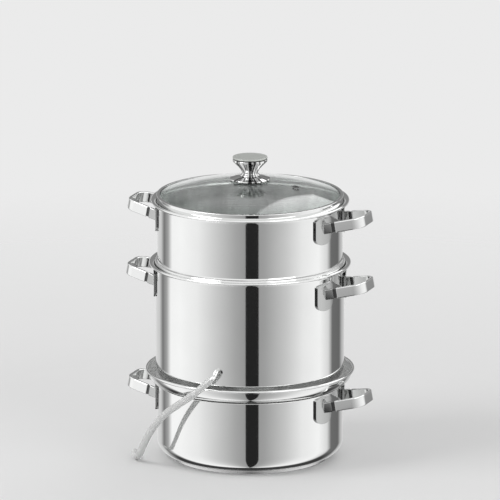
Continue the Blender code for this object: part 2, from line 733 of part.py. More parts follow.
def mirrored_mesh(mesh, name, matrix):
    """A copy of a mesh, moved by a matrix that may mirror it."""
    copy = mesh.copy()
    copy.name = name
    copy.transform(matrix)
    if matrix.determinant() < 0:
        copy.flip_normals()
    return copy


def add_handles(pot, radius, height, parent):
    """Both loop handles of a pot: a grip and two feet on each side."""
    grip = bar_mesh(pot + "_grip", grip_stations(radius), lambda reach: height + rise_at(radius, reach))
    pad, boss = foot_mesh(pot + "_foot", radius, height)
    for side, turn in (("right", 1), ("left", -1)):
        swing = Matrix.Diagonal((turn, 1, 1, 1))
        name = "{}_{}_grip".format(pot, side)
        add_object(name, mirrored_mesh(grip, name, swing), polished_steel(name + "_steel"), parent)
        for end, flip in (("rear", 1), ("front", -1)):
            place = Matrix.Diagonal((turn, flip, 1, 1))
            name = "{}_{}_{}_foot".format(pot, side, end)
            steel = polished_steel(name + "_steel")
            foot = add_object(name, mirrored_mesh(pad, name, place), steel, parent)
            union = foot.modifiers.new("boss", "BOOLEAN")
            union.operation = "UNION"
            union.solver = "EXACT"
            union.object = add_cutter(name + "_boss", mirrored_mesh(boss, name + "_boss", place))


def glass_top(radius):
    """Height of the glass's upper face at a distance from the axis."""
    return GLASS_THICKNESS + GLASS_CENTRE + math.sqrt(GLASS_CURVE ** 2 - radius ** 2)


def glass_under(radius):
    return glass_top(radius) - GLASS_THICKNESS


def lid_glass(parent):
    """The domed pane, with holes for the knob's screw and the vent."""
    radii = [GLASS_HOLE_RADIUS + (GLASS_RADIUS - GLASS_HOLE_RADIUS) * step / GLASS_STEPS
             for step in range(GLASS_STEPS + 1)]
    outline = [(radius, glass_top(radius)) for radius in radii]
    outline += [(radius, glass_under(radius)) for radius in reversed(radii)]
    glass = turned("lid_glass", outline, LID_SEGMENTS,
                   make_material("clear_glass", (0.80, 0.86, 0.83), 0.0, 0.03, 1.0), parent)
    middle, normal = vent_axis()
    reach = normal * (GLASS_THICKNESS / 2 + CUT_OVERRUN)
    cut_away(glass, add_cutter("vent_hole", rod_mesh("vent_hole", middle - reach, middle + reach,
                                                     VENT_SHANK_RADIUS + FIT_GAP, PIN_SEGMENTS)))


def lid_band(parent):
    """The steel band that grips the glass's edge and rests on the basket."""
    low, high = LID_FLOOR, LID_FLOOR + BAND_HEIGHT
    shelf = LID_FLOOR + BAND_SHELF_HEIGHT
    inside = LID_RADIUS - BAND_WALL
    lip = inside - BAND_LIP
    outline = [(inside - BAND_SHELF, low + BAND_ROLL)]
    outline += arc((LID_RADIUS - BAND_ROLL, low + BAND_ROLL), BAND_ROLL, -90, 0, FILLET_STEPS)
    outline += [(LID_RADIUS, high - BAND_WALL / 2), (LID_RADIUS - BAND_WALL / 2, high)]
    outline += [(lip, glass_top(lip) + FIT_GAP + BAND_WALL / 2), (lip, glass_top(lip) + FIT_GAP)]
    outline += [(inside, glass_top(inside) + FIT_GAP), (inside, shelf), (inside - BAND_SHELF, shelf)]
    turned("lid_band", outline, LID_SEGMENTS, polished_steel("band_steel"), parent)


def vent_axis():
    """Middle of the glass at the vent, and the direction square to the glass there."""
    middle_height = (glass_top(VENT_DISTANCE) + glass_under(VENT_DISTANCE)) / 2
    normal = Vector((VENT_DISTANCE, 0, glass_under(VENT_DISTANCE) - GLASS_CENTRE)).normalized()
    return Vector((VENT_DISTANCE, 0, middle_height)), normal


def vent_eyelet(parent):
    """The small steel eyelet that lets steam out through the glass."""
    half = GLASS_THICKNESS / 2 + FIT_GAP
    outer = half + VENT_FLANGE_HEIGHT
    outline = [(VENT_BORE_RADIUS, -outer), (VENT_FLANGE_RADIUS, -outer), (VENT_FLANGE_RADIUS, -half),
               (VENT_SHANK_RADIUS, -half), (VENT_SHANK_RADIUS, half), (VENT_FLANGE_RADIUS, half),
               (VENT_FLANGE_RADIUS - VENT_FLANGE_HEIGHT, outer), (VENT_BORE_RADIUS, outer)]
    mesh = turned_mesh("vent_eyelet", outline, PIN_SEGMENTS)
    middle, normal = vent_axis()
    mesh.transform(Matrix.Translation(middle) @ normal.to_track_quat("Z", "Y").to_matrix().to_4x4())
    add_object("vent_eyelet", mesh, polished_steel("eyelet_steel"), parent)


def knob(parent):
    """The knob above the glass, and the washer and screw that hold it from below."""
    chrome = make_material("knob_chrome", (0.78, 0.79, 0.79), 1.0, 0.05)
    rubber = make_material("gasket_rubber", (0.05, 0.05, 0.05), 0.0, 0.7)
    bore = SCREW_RADIUS + FIT_GAP
    gasket_low = glass_top(0) + FIT_GAP
    gasket_top = gasket_low + GASKET_THICKNESS
    sag = glass_top(0) - glass_top(GASKET_RADIUS)
    turned("knob_gasket", [(bore, gasket_low), (GASKET_RADIUS, gasket_low - sag),
                           (GASKET_RADIUS, gasket_top - sag), (bore, gasket_top)],
           SMALL_SEGMENTS, rubber, parent)
    disc_low = gasket_top + FIT_GAP
    edge = disc_low - sag
    edge_top = edge + DISC_EDGE_HEIGHT
    crown = edge_top + DISC_RISE
    shoulder = (DISC_RADIUS + KNOB_FOOT_RADIUS) / 2
    turned("knob_base_disc", [(bore, disc_low), (GASKET_RADIUS, edge), (DISC_RADIUS, edge),
                              (DISC_RADIUS, edge_top), (shoulder, edge_top + DISC_RISE * DISC_SHOULDER_SHARE),
                              (KNOB_FOOT_RADIUS, crown), (bore, crown)],
           KNOB_SEGMENTS, polished_steel("disc_steel"), parent)
    foot = crown + FIT_GAP
    knob_body(foot, bore, chrome, parent)
    knob_cap(foot + KNOB_HEIGHT, parent)
    turned("knob_washer", [(bore, glass_under(bore) - FIT_GAP - WASHER_THICKNESS),
                           (WASHER_RADIUS, glass_under(bore) - FIT_GAP - WASHER_THICKNESS),
                           (WASHER_RADIUS, glass_under(WASHER_RADIUS) - FIT_GAP),
                           (bore, glass_under(WASHER_RADIUS) - FIT_GAP)],
           SMALL_SEGMENTS, make_material("washer_rubber", (0.05, 0.05, 0.05), 0.0, 0.7), parent)
    head_top = glass_under(bore) - 2 * FIT_GAP - WASHER_THICKNESS
    head_low = head_top - SCREW_HEAD_HEIGHT
    turned("knob_screw", [(0, head_low), (SCREW_HEAD_RADIUS * SCREW_CROWN_SHARE, head_low),
                          (SCREW_HEAD_RADIUS, head_low + SCREW_HEAD_HEIGHT / 2),
                          (SCREW_HEAD_RADIUS, head_top), (SCREW_RADIUS, head_top),
                          (SCREW_RADIUS, foot + SCREW_DEPTH - FIT_GAP), (0, foot + SCREW_DEPTH - FIT_GAP)],
           PIN_SEGMENTS, polished_steel("screw_steel"), parent)


def knob_body(foot, bore, chrome, parent):
    """The chromed knob: flared foot, waist, bowl and a shallow recess on top."""
    rim = foot + KNOB_HEIGHT
    waist = foot + KNOB_WAIST_HEIGHT
    outline = [(0, foot + SCREW_DEPTH), (bore, foot + SCREW_DEPTH), (bore, foot),
               (KNOB_FOOT_RADIUS, foot)]
    for share in KNOB_FLARE_SHARES:
        flare = math.cos(share * math.pi / 2)
        outline.append((KNOB_WAIST_RADIUS + (KNOB_FOOT_RADIUS - KNOB_WAIST_RADIUS) * flare ** 2,
                        foot + KNOB_WAIST_HEIGHT * share))
    bowl_height = rim - KNOB_RIM_HEIGHT - waist
    for share in KNOB_BOWL_SHARES:
        swell = 1 - math.cos(share * math.pi / 2)
        outline.append((KNOB_WAIST_RADIUS + (KNOB_RIM_RADIUS - KNOB_WAIST_RADIUS) * swell ** KNOB_BOWL_POWER,
                        waist + bowl_height * share))
    outline += [(KNOB_RIM_RADIUS, rim), (KNOB_RECESS_RADIUS, rim),
                (KNOB_RECESS_RADIUS, rim - KNOB_RECESS_DEPTH), (0, rim - KNOB_RECESS_DEPTH)]
    turned("knob_body", outline, KNOB_SEGMENTS, chrome, parent)


def knob_cap(rim, parent):
    """The flat cap set into the knob's recess, a dark gap above the rim."""
    low = rim - KNOB_RECESS_DEPTH + FIT_GAP
    plug = KNOB_RECESS_RADIUS - FIT_GAP
    under = rim + CAP_GROOVE
    outline = [(0, low), (plug, low), (plug, under), (KNOB_RIM_RADIUS - CAP_EDGE, under),
               (KNOB_RIM_RADIUS, under + CAP_EDGE), (KNOB_RIM_RADIUS - CAP_EDGE, under + CAP_THICKNESS),
               (0, under + CAP_THICKNESS + CAP_EDGE)]
    turned("knob_cap", outline, KNOB_SEGMENTS,
           make_material("cap_grey", (0.55, 0.58, 0.55), 0.3, 0.25), parent)


def lid(parent):
    """The glass lid with its band, vent and knob."""
    lid_glass(parent)
    lid_band(parent)
    vent_eyelet(parent)
    knob(parent)


def build():
    """The whole juicer, each part above lifting from the one below."""
    clear_scene()
    stand = add_empty("water_pot", 0)
    juice = add_empty("juice_pot", JUICE_FLOOR, stand)
    fruit = add_empty("basket", BASKET_FLOOR, juice)
    cover = add_empty("lid", LID_FLOOR, fruit)
    water_pot(stand)
    juice_pot(juice)
    basket(fruit)
    lid(cover)


build()
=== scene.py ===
"""Steam juicer: the finished pieces of the four stacked parts, and the studio they stand in.

Metres, +Z up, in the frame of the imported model, whose pots stand on the Z axis.
Every turned piece starts as one vertex, which is extruded along its outline and spun.
"""
from math import asin, atan, atan2, ceil, copysign, cos, hypot, pi, radians, sin, sqrt, tan

import bpy
from mathutils import Matrix, Vector


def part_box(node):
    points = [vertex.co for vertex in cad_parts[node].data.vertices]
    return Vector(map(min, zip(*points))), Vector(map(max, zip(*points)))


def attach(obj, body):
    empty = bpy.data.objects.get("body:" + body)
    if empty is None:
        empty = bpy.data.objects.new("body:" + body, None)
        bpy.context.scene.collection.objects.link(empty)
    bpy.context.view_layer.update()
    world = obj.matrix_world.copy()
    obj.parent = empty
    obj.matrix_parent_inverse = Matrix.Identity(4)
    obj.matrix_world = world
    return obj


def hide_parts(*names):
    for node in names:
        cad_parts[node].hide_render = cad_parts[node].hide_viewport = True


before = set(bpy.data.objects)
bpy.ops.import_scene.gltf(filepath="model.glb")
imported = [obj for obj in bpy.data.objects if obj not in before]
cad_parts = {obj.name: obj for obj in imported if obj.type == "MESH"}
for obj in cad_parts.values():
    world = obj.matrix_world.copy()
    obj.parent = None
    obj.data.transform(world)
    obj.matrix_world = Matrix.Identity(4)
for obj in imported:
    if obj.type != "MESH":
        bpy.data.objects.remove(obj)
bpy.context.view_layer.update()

# The sheet that the pots are pressed from, and the gaps between pieces
SHEET = 0.0008
FIT_GAP = 0.0003
ROLL_RADIUS = 0.0014
ROLL_TAIL_SHARE = 1.6
RIM_FLARE = 0.008

# Water pot
WATER_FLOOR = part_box("water_pot_shell")[0][2]
WATER_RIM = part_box("water_pot_shell")[1][2]
WATER_RADIUS = 0.1306
WATER_CORNER = 0.021
WATER_GROOVE_HEIGHT = 0.106
WATER_GROOVE_EDGE = 0.0006
SEAT_RADIUS = 0.117
SEAT_FOLD_PITCH = 0.0026
WATER_LIP_RADIUS = 0.147
BASE_RADIUS = 0.112
BASE_THICKNESS = 0.005
BASE_LOW_EDGE = 0.0018
BASE_TOP_EDGE = 0.0012

# Juice pot, its chimney, spout and hose
JUICE_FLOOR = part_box("juice_pot_floor")[0][2]
JUICE_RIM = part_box("juice_pot_rim")[1][2]
JUICE_RADIUS = 0.1324
JUICE_CORNER = 0.025
CHIMNEY_RADIUS = 0.0210
CHIMNEY_HEIGHT = 0.068
CHIMNEY_FOOT_RADIUS = 0.032
CHIMNEY_FILLET = 0.005
CHIMNEY_RING_ROLL = 0.0024
CHIMNEY_FLOOR_HOLE = 0.0290
SPOUT_HEIGHT = 0.0446
SPOUT_RADIUS = 0.0035
SPOUT_WALL = 0.0015
SPOUT_REACH = 0.0226
SPOUT_DROP = 0.0156
SPOUT_SWING = 0.011
SPOUT_STUB = 0.0052
SPOUT_ELBOW = 0.004
SPOUT_SLEEVE = 0.012
HOSE_RADIUS = 0.005
HOSE_WALL = 0.0014
HOSE_ROUTE = ((-0.026, -0.1622, 0.1225), (-0.047, -0.1605, 0.1070), (-0.073, -0.1490, 0.0870),
              (-0.098, -0.1315, 0.0600), (-0.116, -0.1150, 0.0335), (-0.130, -0.0980, 0.0125),
              (-0.141, -0.0810, 0.0053), (-0.149, -0.0630, 0.0053))

# Basket
BASKET_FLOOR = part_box("basket_shell")[0][2]
BASKET_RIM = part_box("basket_shell")[1][2]
BASKET_RADIUS = 0.1300
BASKET_LOWER_RADIUS = 0.1275
BASKET_CORNER = 0.042
LOWER_CORNER = BASKET_CORNER - SHEET / 2
LOWER_CENTRE = Vector((BASKET_LOWER_RADIUS - BASKET_CORNER, BASKET_FLOOR + BASKET_CORNER))
BEAD_HEIGHT = 0.092
BEAD_ROLL = 0.0030
BEAD_STEP = 0.0020
BEAD_LOW_FILLET = 0.0010
BEAD_TOP_FILLET = 0.0015
COLUMNS = 52
COLUMNS_IN_STRIP = 2
CELL_STEPS = 5
HOLE_RADIUS = 0.0022
FIRST_ROW_DROP = 0.014
ROW_PITCH = 0.0165
ROWS = 4
FLOOR_RING_RADII = (0.056, 0.076)
FLOOR_RING_WIDTH = 0.012
PIERCED_TOP = BASKET_FLOOR + BEAD_HEIGHT - FIRST_ROW_DROP + ROW_PITCH / 2

# Loop handles
GRIP_HALF_SPAN = 0.042
GRIP_OUTER_HALF_SPAN = 0.026
GRIP_REACH = 0.0465
GRIP_HEIGHT = 0.015
GRIP_THICKNESS = 0.0048
GRIP_EDGE = 0.0014
GRIP_CORNER = 0.019
GRIP_RISE = 0.0095
FOOT_WIDTH = 0.034
FOOT_HEIGHT = 0.038
FOOT_THICKNESS = 0.0028
FOOT_EDGE = 0.0009
BOSS_REACH = 0.0125
BOSS_FLARE_LENGTH = 0.0040
BOSS_FLARE = 1.35
NECK_LENGTH = 0.0040
NECK_INSET = 0.0012
FOOT_RISE_SHARE = 0.42
FOOT_SIDE_LOW_SHARE = 0.45
FOOT_SIDE_HIGH_SHARE = 0.82
FOOT_ROUND_POWER = 2.4
GRIP_DROPS = {"water_pot": 0.040, "juice_pot": 0.030, "basket": 0.025}

# Lid and knob
LID_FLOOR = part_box("lid_band")[0][2]
LID_RADIUS = 0.131
BAND_HEIGHT = 0.0100
BAND_WALL = 0.0014
BAND_SHELF = 0.0050
BAND_LIP = 0.0030
BAND_SHELF_HEIGHT = 0.0044
BAND_SHELF_LIFT = 0.0015
BAND_SHELF_EDGE = 0.0006
BAND_TOE_INSET = 0.0018
BAND_TOE_LIFT = 0.0008
BAND_TOE_EDGE = 0.0010
BAND_CHAMFER = 0.0016
BAND_LOW_EDGE = 0.0008
BAND_SIDE_EDGE = 0.0009
BAND_TOP_EDGE = 0.0007
BAND_LIP_EDGE = 0.0003
GLASS_THICKNESS = 0.0035
GLASS_RISE = 0.0225
GLASS_HOLE_RADIUS = 0.0045
GLASS_RADIUS = LID_RADIUS - BAND_WALL - FIT_GAP
GLASS_EDGE = LID_FLOOR + BAND_SHELF_HEIGHT + FIT_GAP
GLASS_CURVE = (GLASS_RADIUS ** 2 + GLASS_RISE ** 2) / (2 * GLASS_RISE)
GLASS_CENTRE = GLASS_EDGE + GLASS_RISE - GLASS_CURVE
VENT_DISTANCE = 0.068
VENT_FLANGE_RADIUS = 0.0050
VENT_SHANK_RADIUS = 0.0031
VENT_BORE_RADIUS = 0.0015
VENT_FLANGE_HEIGHT = 0.0012
VENT_DRAFT = 0.0004
VENT_FOLD = 0.0002
VENT_LOW_EDGE = 0.0005
VENT_TOP_EDGE = 0.0006
VENT_MOUTH_EDGE = 0.0003
SCREW_RADIUS = 0.0025
GASKET_RADIUS = 0.0262
GASKET_THICKNESS = 0.0008
GASKET_LOW_EDGE = 0.0002
GASKET_TOP_EDGE = 0.0003
DISC_RADIUS = 0.0290
DISC_EDGE_HEIGHT = 0.0020
DISC_RISE = 0.0030
DISC_LOW_EDGE = 0.0005
DISC_TOP_EDGE = 0.0010
DISC_MIDDLE_SHARE = 0.62
DISC_MIDDLE_CURVE = 0.012
DISC_NECK_CURVE = 0.004
KNOB_HEIGHT = 0.0240
KNOB_FOOT_RADIUS = 0.0145
KNOB_WAIST_RADIUS = 0.0113
KNOB_WAIST_HEIGHT = 0.0045
KNOB_RIM_RADIUS = 0.0245
KNOB_RIM_HEIGHT = 0.0030
KNOB_RECESS_RADIUS = 0.0180
KNOB_RECESS_DEPTH = 0.0020
KNOB_FOOT_EDGE = 0.0004
KNOB_RIM_EDGE = 0.0011
KNOB_RECESS_EDGE = 0.0004
KNOB_BOWL_POWER = 0.8
CAP_THICKNESS = 0.0022
CAP_EDGE = 0.0006
CAP_TOP_EDGE = 0.0009
CAP_DOME_SHARE = 0.7
CAP_DOME_CURVE = 0.02
CAP_GROOVE = 0.0010
SCREW_DEPTH = 0.0120
SCREW_HEAD_RADIUS = 0.0060
SCREW_HEAD_HEIGHT = 0.0030
SCREW_DOME_SHARE = 0.65
SCREW_DOME_CURVE = 0.002
SCREW_HEAD_EDGE = 0.0008
SCREW_EDGE = 0.0003
WASHER_RADIUS = 0.0110
WASHER_THICKNESS = 0.0015
WASHER_EDGE = 0.0004

# How finely things are divided
POT_STEPS = 160
LID_STEPS = 144
KNOB_STEPS = 72
SMALL_STEPS = 32
COLLAR_STEPS = 14
BASKET_CORNER_STEPS = 8
GLASS_STEPS = 26
KNOB_FLARE_STEPS = 8
KNOB_BOWL_STEPS = 16
TUBE_STEPS = 8
PAD_STEPS = (24, 14)
GRIP_EDGE_STEPS = 4
PAD_EDGE_STEPS = 3
ARC_STEP = radians(9)
GRIP_ARC_STEP = radians(6)
BAND_ARC_STEP = radians(15)
VENT_ARC_STEP = radians(25)
DISC_ARC_STEP = radians(5)
CAP_ARC_STEP = radians(4)
HOLE_ARC_STEP = radians(30)
MERGE = 0.00001
SMOOTH_ANGLE = radians(32)
EDGE_ANGLE = radians(50)

# How squarely a face looks at the axis, up, along the unpierced sheet's normal, or along an arm
INSIDE_SHARE = 0.3
FLOOR_SHARE = 0.6
SHEET_SHARE = 0.8
ARM_SHARE = 0.9

# Camera
VIEW_AZIMUTH = radians(20)
VIEW_ELEVATION = radians(13.5)
VIEW_DISTANCE = 15.0
VIEW_CENTRE = (0.0, 0.0, 0.296)
LENS = 770


def add_object(name, data):
    """A new object in the scene."""
    made = bpy.data.objects.new(name, data)
    bpy.context.scene.collection.objects.link(made)
    return made


def add_camera():
    """The camera at the photograph's angle: a little from the right and from above."""
    data = bpy.data.cameras.new("camera")
    data.lens = LENS
    camera = add_object("camera", data)
    level = cos(VIEW_ELEVATION)
    back = Vector((sin(VIEW_AZIMUTH) * level, -cos(VIEW_AZIMUTH) * level, sin(VIEW_ELEVATION)))
    camera.location = Vector(VIEW_CENTRE) + back * VIEW_DISTANCE
    camera.rotation_euler = back.to_track_quat("Z", "Y").to_euler()
    bpy.context.scene.camera = camera


# Shader trees

class Wire:
    """A value in a node tree. Arithmetic on it adds Math nodes."""

    def __init__(self, tree, socket):
        self.tree = tree
        self.socket = socket

    def math(self, operation, *values):
        node = self.tree.nodes.new("ShaderNodeMath")
        node.operation = operation
        for socket, value in zip(node.inputs, values):
            plug(self.tree, socket, value)
        return Wire(self.tree, node.outputs[0])

    def __add__(self, other):
        return self.math("ADD", self, other)

    def __radd__(self, other):
        return self.math("ADD", other, self)

    def __sub__(self, other):
        return self.math("SUBTRACT", self, other)

    def __rsub__(self, other):
        return self.math("SUBTRACT", other, self)

    def __mul__(self, other):
        return self.math("MULTIPLY", self, other)

    def __rmul__(self, other):
        return self.math("MULTIPLY", other, self)

    def __truediv__(self, other):
        return self.math("DIVIDE", self, other)

    def __rtruediv__(self, other):
        return self.math("DIVIDE", other, self)

    def __abs__(self):
        return self.math("ABSOLUTE", self)

    def ramp(self, start, end):
        """0 before the start and 1 past the end, with a straight slope between them."""
        slope = (self - start) / (end - start)
        return slope.math("MINIMUM", slope.math("MAXIMUM", slope, 0.0), 1.0)


def grey(level):
    return (level, level, level, 1.0)


def cool_grey(level):
    return (level, level + 0.005, level, 1.0)


def plug(tree, socket, value):
    """Link a wire to a socket, or set the socket to a number, colour or vector."""
    if isinstance(value, Wire):
        tree.links.new(value.socket, socket)
    else:
        socket.default_value = value


class Tree:
    """A node tree with one method that adds any node."""

    def __init__(self, tree):
        self.tree = tree

    def node(self, kind, settings=(), values=(), out=0):
        """A node of that kind, with its settings and then its sockets' values; returns one output."""
        node = self.tree.nodes.new("ShaderNode" + kind)
        for name, value in dict(settings).items():
            if name == "stops":
                ramp = node.color_ramp.elements
                while len(ramp) < len(value):
                    ramp.new(0.5)
                for stop, (place, level) in zip(ramp, value):
                    stop.position = place
                    stop.color = grey(level)
            else:
                setattr(node, name, value)
        for name, value in dict(values).items():
            plug(self.tree, node.inputs[name], value)
        return Wire(self.tree, node.outputs[out])

    def mix_colour(self, share, first, second):
        """A colour between two colours."""
        node = self.tree.nodes.new("ShaderNodeMix")
        node.data_type = "RGBA"
        for name, value in (("Factor_Float", share), ("A_Color", first), ("B_Color", second)):
            socket = next(entry for entry in node.inputs if entry.identifier == name)
            plug(self.tree, socket, value)
        result = next(entry for entry in node.outputs if entry.identifier == "Result_Color")
        return Wire(self.tree, result)

    def parts(self, vector):
        """The three numbers of a vector."""
        node = self.tree.nodes.new("ShaderNodeSeparateXYZ")
        plug(self.tree, node.inputs[0], vector)
        return [Wire(self.tree, output) for output in node.outputs]

    def vector(self, x, y, z):
        return self.node("CombineXYZ", values={"X": x, "Y": y, "Z": z})

    def ray(self, kind):
        """1 for rays of one kind, and 0 for others."""
        return self.node("LightPath", out="Is {} Ray".format(kind))

    def noise(self, place, scale, detail=2.0, roughness=0.5):
        return self.node("TexNoise", values={"Vector": place, "Scale": scale, "Detail": detail,
                                             "Roughness": roughness})


class Finish(Tree):
    """A material with a Principled shader."""

    def __init__(self, name, **constants):
        self.material = bpy.data.materials.new(name)
        self.material.use_nodes = True
        super().__init__(self.material.node_tree)
        self.shader = self.tree.nodes["Principled BSDF"]
        self.place = self.node("TexCoord", out=3)
        for socket, value in constants.items():
            self.set(socket.replace("_", " "), value)

    def set(self, socket, value):
        plug(self.tree, self.shader.inputs[socket], value)

    def tint(self, share, first, second):
        self.set("Base Color", self.mix_colour(share, first, second))

    def bump(self, height, strength, distance):
        normal = self.node("Bump", values={"Height": height, "Strength": strength, "Distance": distance})
        self.set("Normal", normal)

    def from_axis(self):
        """The place's distance from the Z axis, and its three parts."""
        x, y, z = self.parts(self.place)
        return self.node("Math", {"operation": "SQRT"}, {0: x * x + y * y}), x, y, z

    def round_place(self, around, along):
        """Places unrolled round the Z axis, stretched so that noise runs in hoops."""
        radius, x, y, z = self.from_axis()
        angle = self.node("Math", {"operation": "ARCTAN2"}, {0: y, 1: x})
        return self.vector(angle * around, radius * along, z * along)

    def bars(self, count, low, high):
        """0 to 1 in upright bars round the Z axis, which place painted reflections: 0 where the noise is
        under low, 1 over high.
        """
        radius, x, y, _ = self.from_axis()
        return self.noise(self.vector(x / radius, y / radius, 0.0), count, 1.0).ramp(low, high)


def steel(name, colour, rough, hoop_strength, metallic=1.0, bars=None, painted_shade_below=None):
    """Stainless steel: faint clouding, fine hoops left by the polishing, and a few smears.

    Bars are upright streaks of a darker grey: painted reflections. What lies below the given height is
    darker too: painted shade.
    """
    finish = Finish(name, Metallic=metallic)
    clouds = finish.noise(finish.place, 16.0, 3.0)
    stretched = finish.node("Mapping", values={"Vector": finish.place, "Scale": (1.0, 1.0, 0.35)})
    smears = finish.noise(stretched, 70.0, 4.0, 0.6)
    hoops = finish.noise(finish.round_place(1.2, 900.0), 1.0, 3.0, 0.7)
    dull = tuple(part * 0.94 for part in colour[:3]) + (1.0,)
    tint = finish.mix_colour(clouds * 1.6 - 0.3, dull, colour)
    if bars is not None:
        count, low, high, shade = bars
        # Painted reflections: darker upright bars mixed into the colour.
        tint = finish.mix_colour(finish.bars(count, low, high), grey(shade), tint)
    if painted_shade_below is not None:
        raised = finish.parts(finish.place)[2].ramp(painted_shade_below - 0.03, painted_shade_below + 0.03)
        # Painted shade: a darker grey below the given height.
        tint = finish.mix_colour(raised, grey(0.24), tint)
    finish.set("Base Color", tint)
    finish.set("Roughness", rough + (smears - 0.5) * 0.6 * rough + (hoops - 0.5) * 0.5 * rough)
    if hoop_strength:
        finish.bump(hoops, hoop_strength, 0.00004)
    return finish.material


def clear_glass():
    """Tempered glass: clear, greener towards its edge, with barely visible wiping marks."""
    finish = Finish("lid_glass_clear", Transmission_Weight=1.0, IOR=1.5)
    wipes = finish.noise(finish.round_place(2.0, 30.0), 1.0, 3.0)
    edge = finish.from_axis()[0].ramp(0.098, 0.128)
    clear = finish.mix_colour(wipes, (0.95, 0.985, 0.97, 1.0), (0.975, 0.995, 0.985, 1.0))
    finish.tint(edge, clear, (0.74, 0.82, 0.78, 1.0))
    finish.set("Roughness", wipes * 0.012)
    return finish.material


def clear_silicone():
    """Milky clear silicone of the hose."""
    finish = Finish("hose_silicone", Transmission_Weight=0.45, IOR=1.41)
    haze = finish.noise(finish.place, 45.0, 2.0)
    finish.tint(haze, (0.90, 0.91, 0.90, 1.0), (0.97, 0.97, 0.97, 1.0))
    finish.set("Roughness", 0.12 + haze * 0.10)
    return finish.material


def seal_rubber():
    """Matt black rubber of the gasket and the washer."""
    finish = Finish("black_rubber")
    grain = finish.noise(finish.place, 900.0, 2.0)
    finish.tint(grain, grey(0.016), grey(0.032))
    finish.set("Roughness", 0.55 + grain * 0.2)
    finish.bump(grain, 0.2, 0.0001)
    return finish.material


def cap_enamel():
    """The knob cap's grey-green gloss, finely turned."""
    finish = Finish("knob_cap_grey", Metallic=0.35, Coat_Weight=0.4, Coat_Roughness=0.08)
    rings = finish.noise(finish.round_place(0.6, 1400.0), 1.0, 2.0)
    finish.tint(rings, (0.52, 0.545, 0.515, 1.0), (0.60, 0.62, 0.59, 1.0))
    finish.set("Roughness", 0.26 + rings * 0.1)
    finish.bump(rings, 0.06, 0.00005)
    return finish.material


def turned_plate():
    """The base plate's steel, turned in fine rings and dulled by the stove."""
    finish = Finish("base_plate_turned", Metallic=1.0)
    rings = finish.noise(finish.round_place(0.5, 1100.0), 1.0, 3.0, 0.7)
    stains = finish.noise(finish.place, 24.0, 4.0)
    finish.tint(stains, grey(0.60), grey(0.72))
    finish.set("Roughness", 0.18 + rings * 0.12 + stains * 0.06)
    finish.bump(rings, 0.12, 0.00006)
    return finish.material


# Studio

FLOOR_RADIUS = 2.4
FLOOR_FADE = (0.55, 1.65)
FLOOR_FADE_IN_MIRRORS = (0.06, 0.09)


def floor_material():
    """A pale floor that fades into the plain background, sooner where it is seen in a mirror."""
    finish = Finish("studio_floor", Roughness=0.9)
    finish.tint(finish.noise(finish.place, 3.0), grey(0.80), grey(0.82))
    finish.set("Specular IOR Level", 0.1)
    distance = finish.from_axis()[0]
    seen_fade = distance.ramp(*FLOOR_FADE)
    fade = seen_fade + finish.ray("Glossy") * (distance.ramp(*FLOOR_FADE_IN_MIRRORS) - seen_fade)
    lit = Wire(finish.tree, finish.shader.outputs[0])
    mixed = finish.node("MixShader", values={0: fade, 1: lit, 2: finish.node("BsdfTransparent")})
    plug(finish.tree, finish.tree.nodes["Material Output"].inputs["Surface"], mixed)
    return finish.material


def add_floor():
    """The round floor, which belongs to the studio and not to the object."""
    deselect()
    bpy.ops.mesh.primitive_circle_add(vertices=96, radius=FLOOR_RADIUS, fill_type="NGON")
    floor = bpy.context.object
    floor.name = "studio_floor"
    floor.data.materials.append(floor_material())


# What mirrors see round the pots: degrees from the camera towards the picture's left, and brightness
STUDIO_BANDS = ((-180, 0.80), (-152, 0.50), (-142, 0.15), (-121, 0.17), (-112, 0.80), (-95, 1.06),
                (-68, 0.94), (-45, 0.66), (-18, 0.40), (0, 0.32), (18, 0.44), (45, 0.72), (68, 0.97),
                (95, 1.08), (114, 1.05), (123, 0.42), (135, 0.20), (146, 0.66), (180, 0.80))
# Where each soft edge starts and ends: sides in radians from the camera, and the others by height
STRIPE_MIDDLE = -0.045
STRIPE_SIDES = (0.145, 0.135)
STRIPE_TOP = (-0.15, -0.18)
CEILING_EDGE = (-0.22, 0.48)
WALL_SIDES = (2.3, 2.6)
WALL_FOOT = (0.04, 0.14)
WALL_TOP = (0.62, 0.52)
UNDER_SIDES = (1.9, 2.2)
UNDER_TOP = (-0.45, -0.65)


def add_world():
    """Plain pale background; mirrors see soft boxes with dark gaps between them."""
    world = bpy.data.worlds.new("studio")
    world.use_nodes = True
    bpy.context.scene.world = world
    tree = Tree(world.node_tree)
    x, y, z = tree.parts(tree.node("TexCoord"))
    leftward = x * -cos(VIEW_AZIMUTH) + y * -sin(VIEW_AZIMUTH)
    toward = x * sin(VIEW_AZIMUTH) + y * -cos(VIEW_AZIMUTH)
    angle = tree.node("Math", {"operation": "ARCTAN2"}, {0: leftward, 1: toward})
    stops = [((degrees + 180) / 360, level) for degrees, level in STUDIO_BANDS]
    mirrored = tree.node("ValToRGB", {"stops": stops}, {"Fac": angle / (2 * pi) + 0.5})
    stripe = abs(angle - STRIPE_MIDDLE).ramp(*STRIPE_SIDES) * z.ramp(*STRIPE_TOP)
    ceiling = z.ramp(*CEILING_EDGE)
    wall = abs(angle).ramp(*WALL_SIDES) * z.ramp(*WALL_FOOT) * z.ramp(*WALL_TOP)
    under = abs(angle).ramp(*UNDER_SIDES) * z.ramp(*UNDER_TOP)
    for share, level in ((stripe, 0.02), (ceiling, 1.0), (wall, 0.26), (under, 0.05)):
        mirrored = tree.mix_colour(share, mirrored, grey(level))
    light = tree.mix_colour(tree.ray("Glossy"), grey(0.62), mirrored)
    seen = (tree.ray("Camera") + tree.ray("Transmission")).ramp(0.0, 1.0)
    colour = tree.mix_colour(seen, light, grey(0.83))
    plug(tree.tree, tree.tree.nodes["Background"].inputs["Color"], colour)


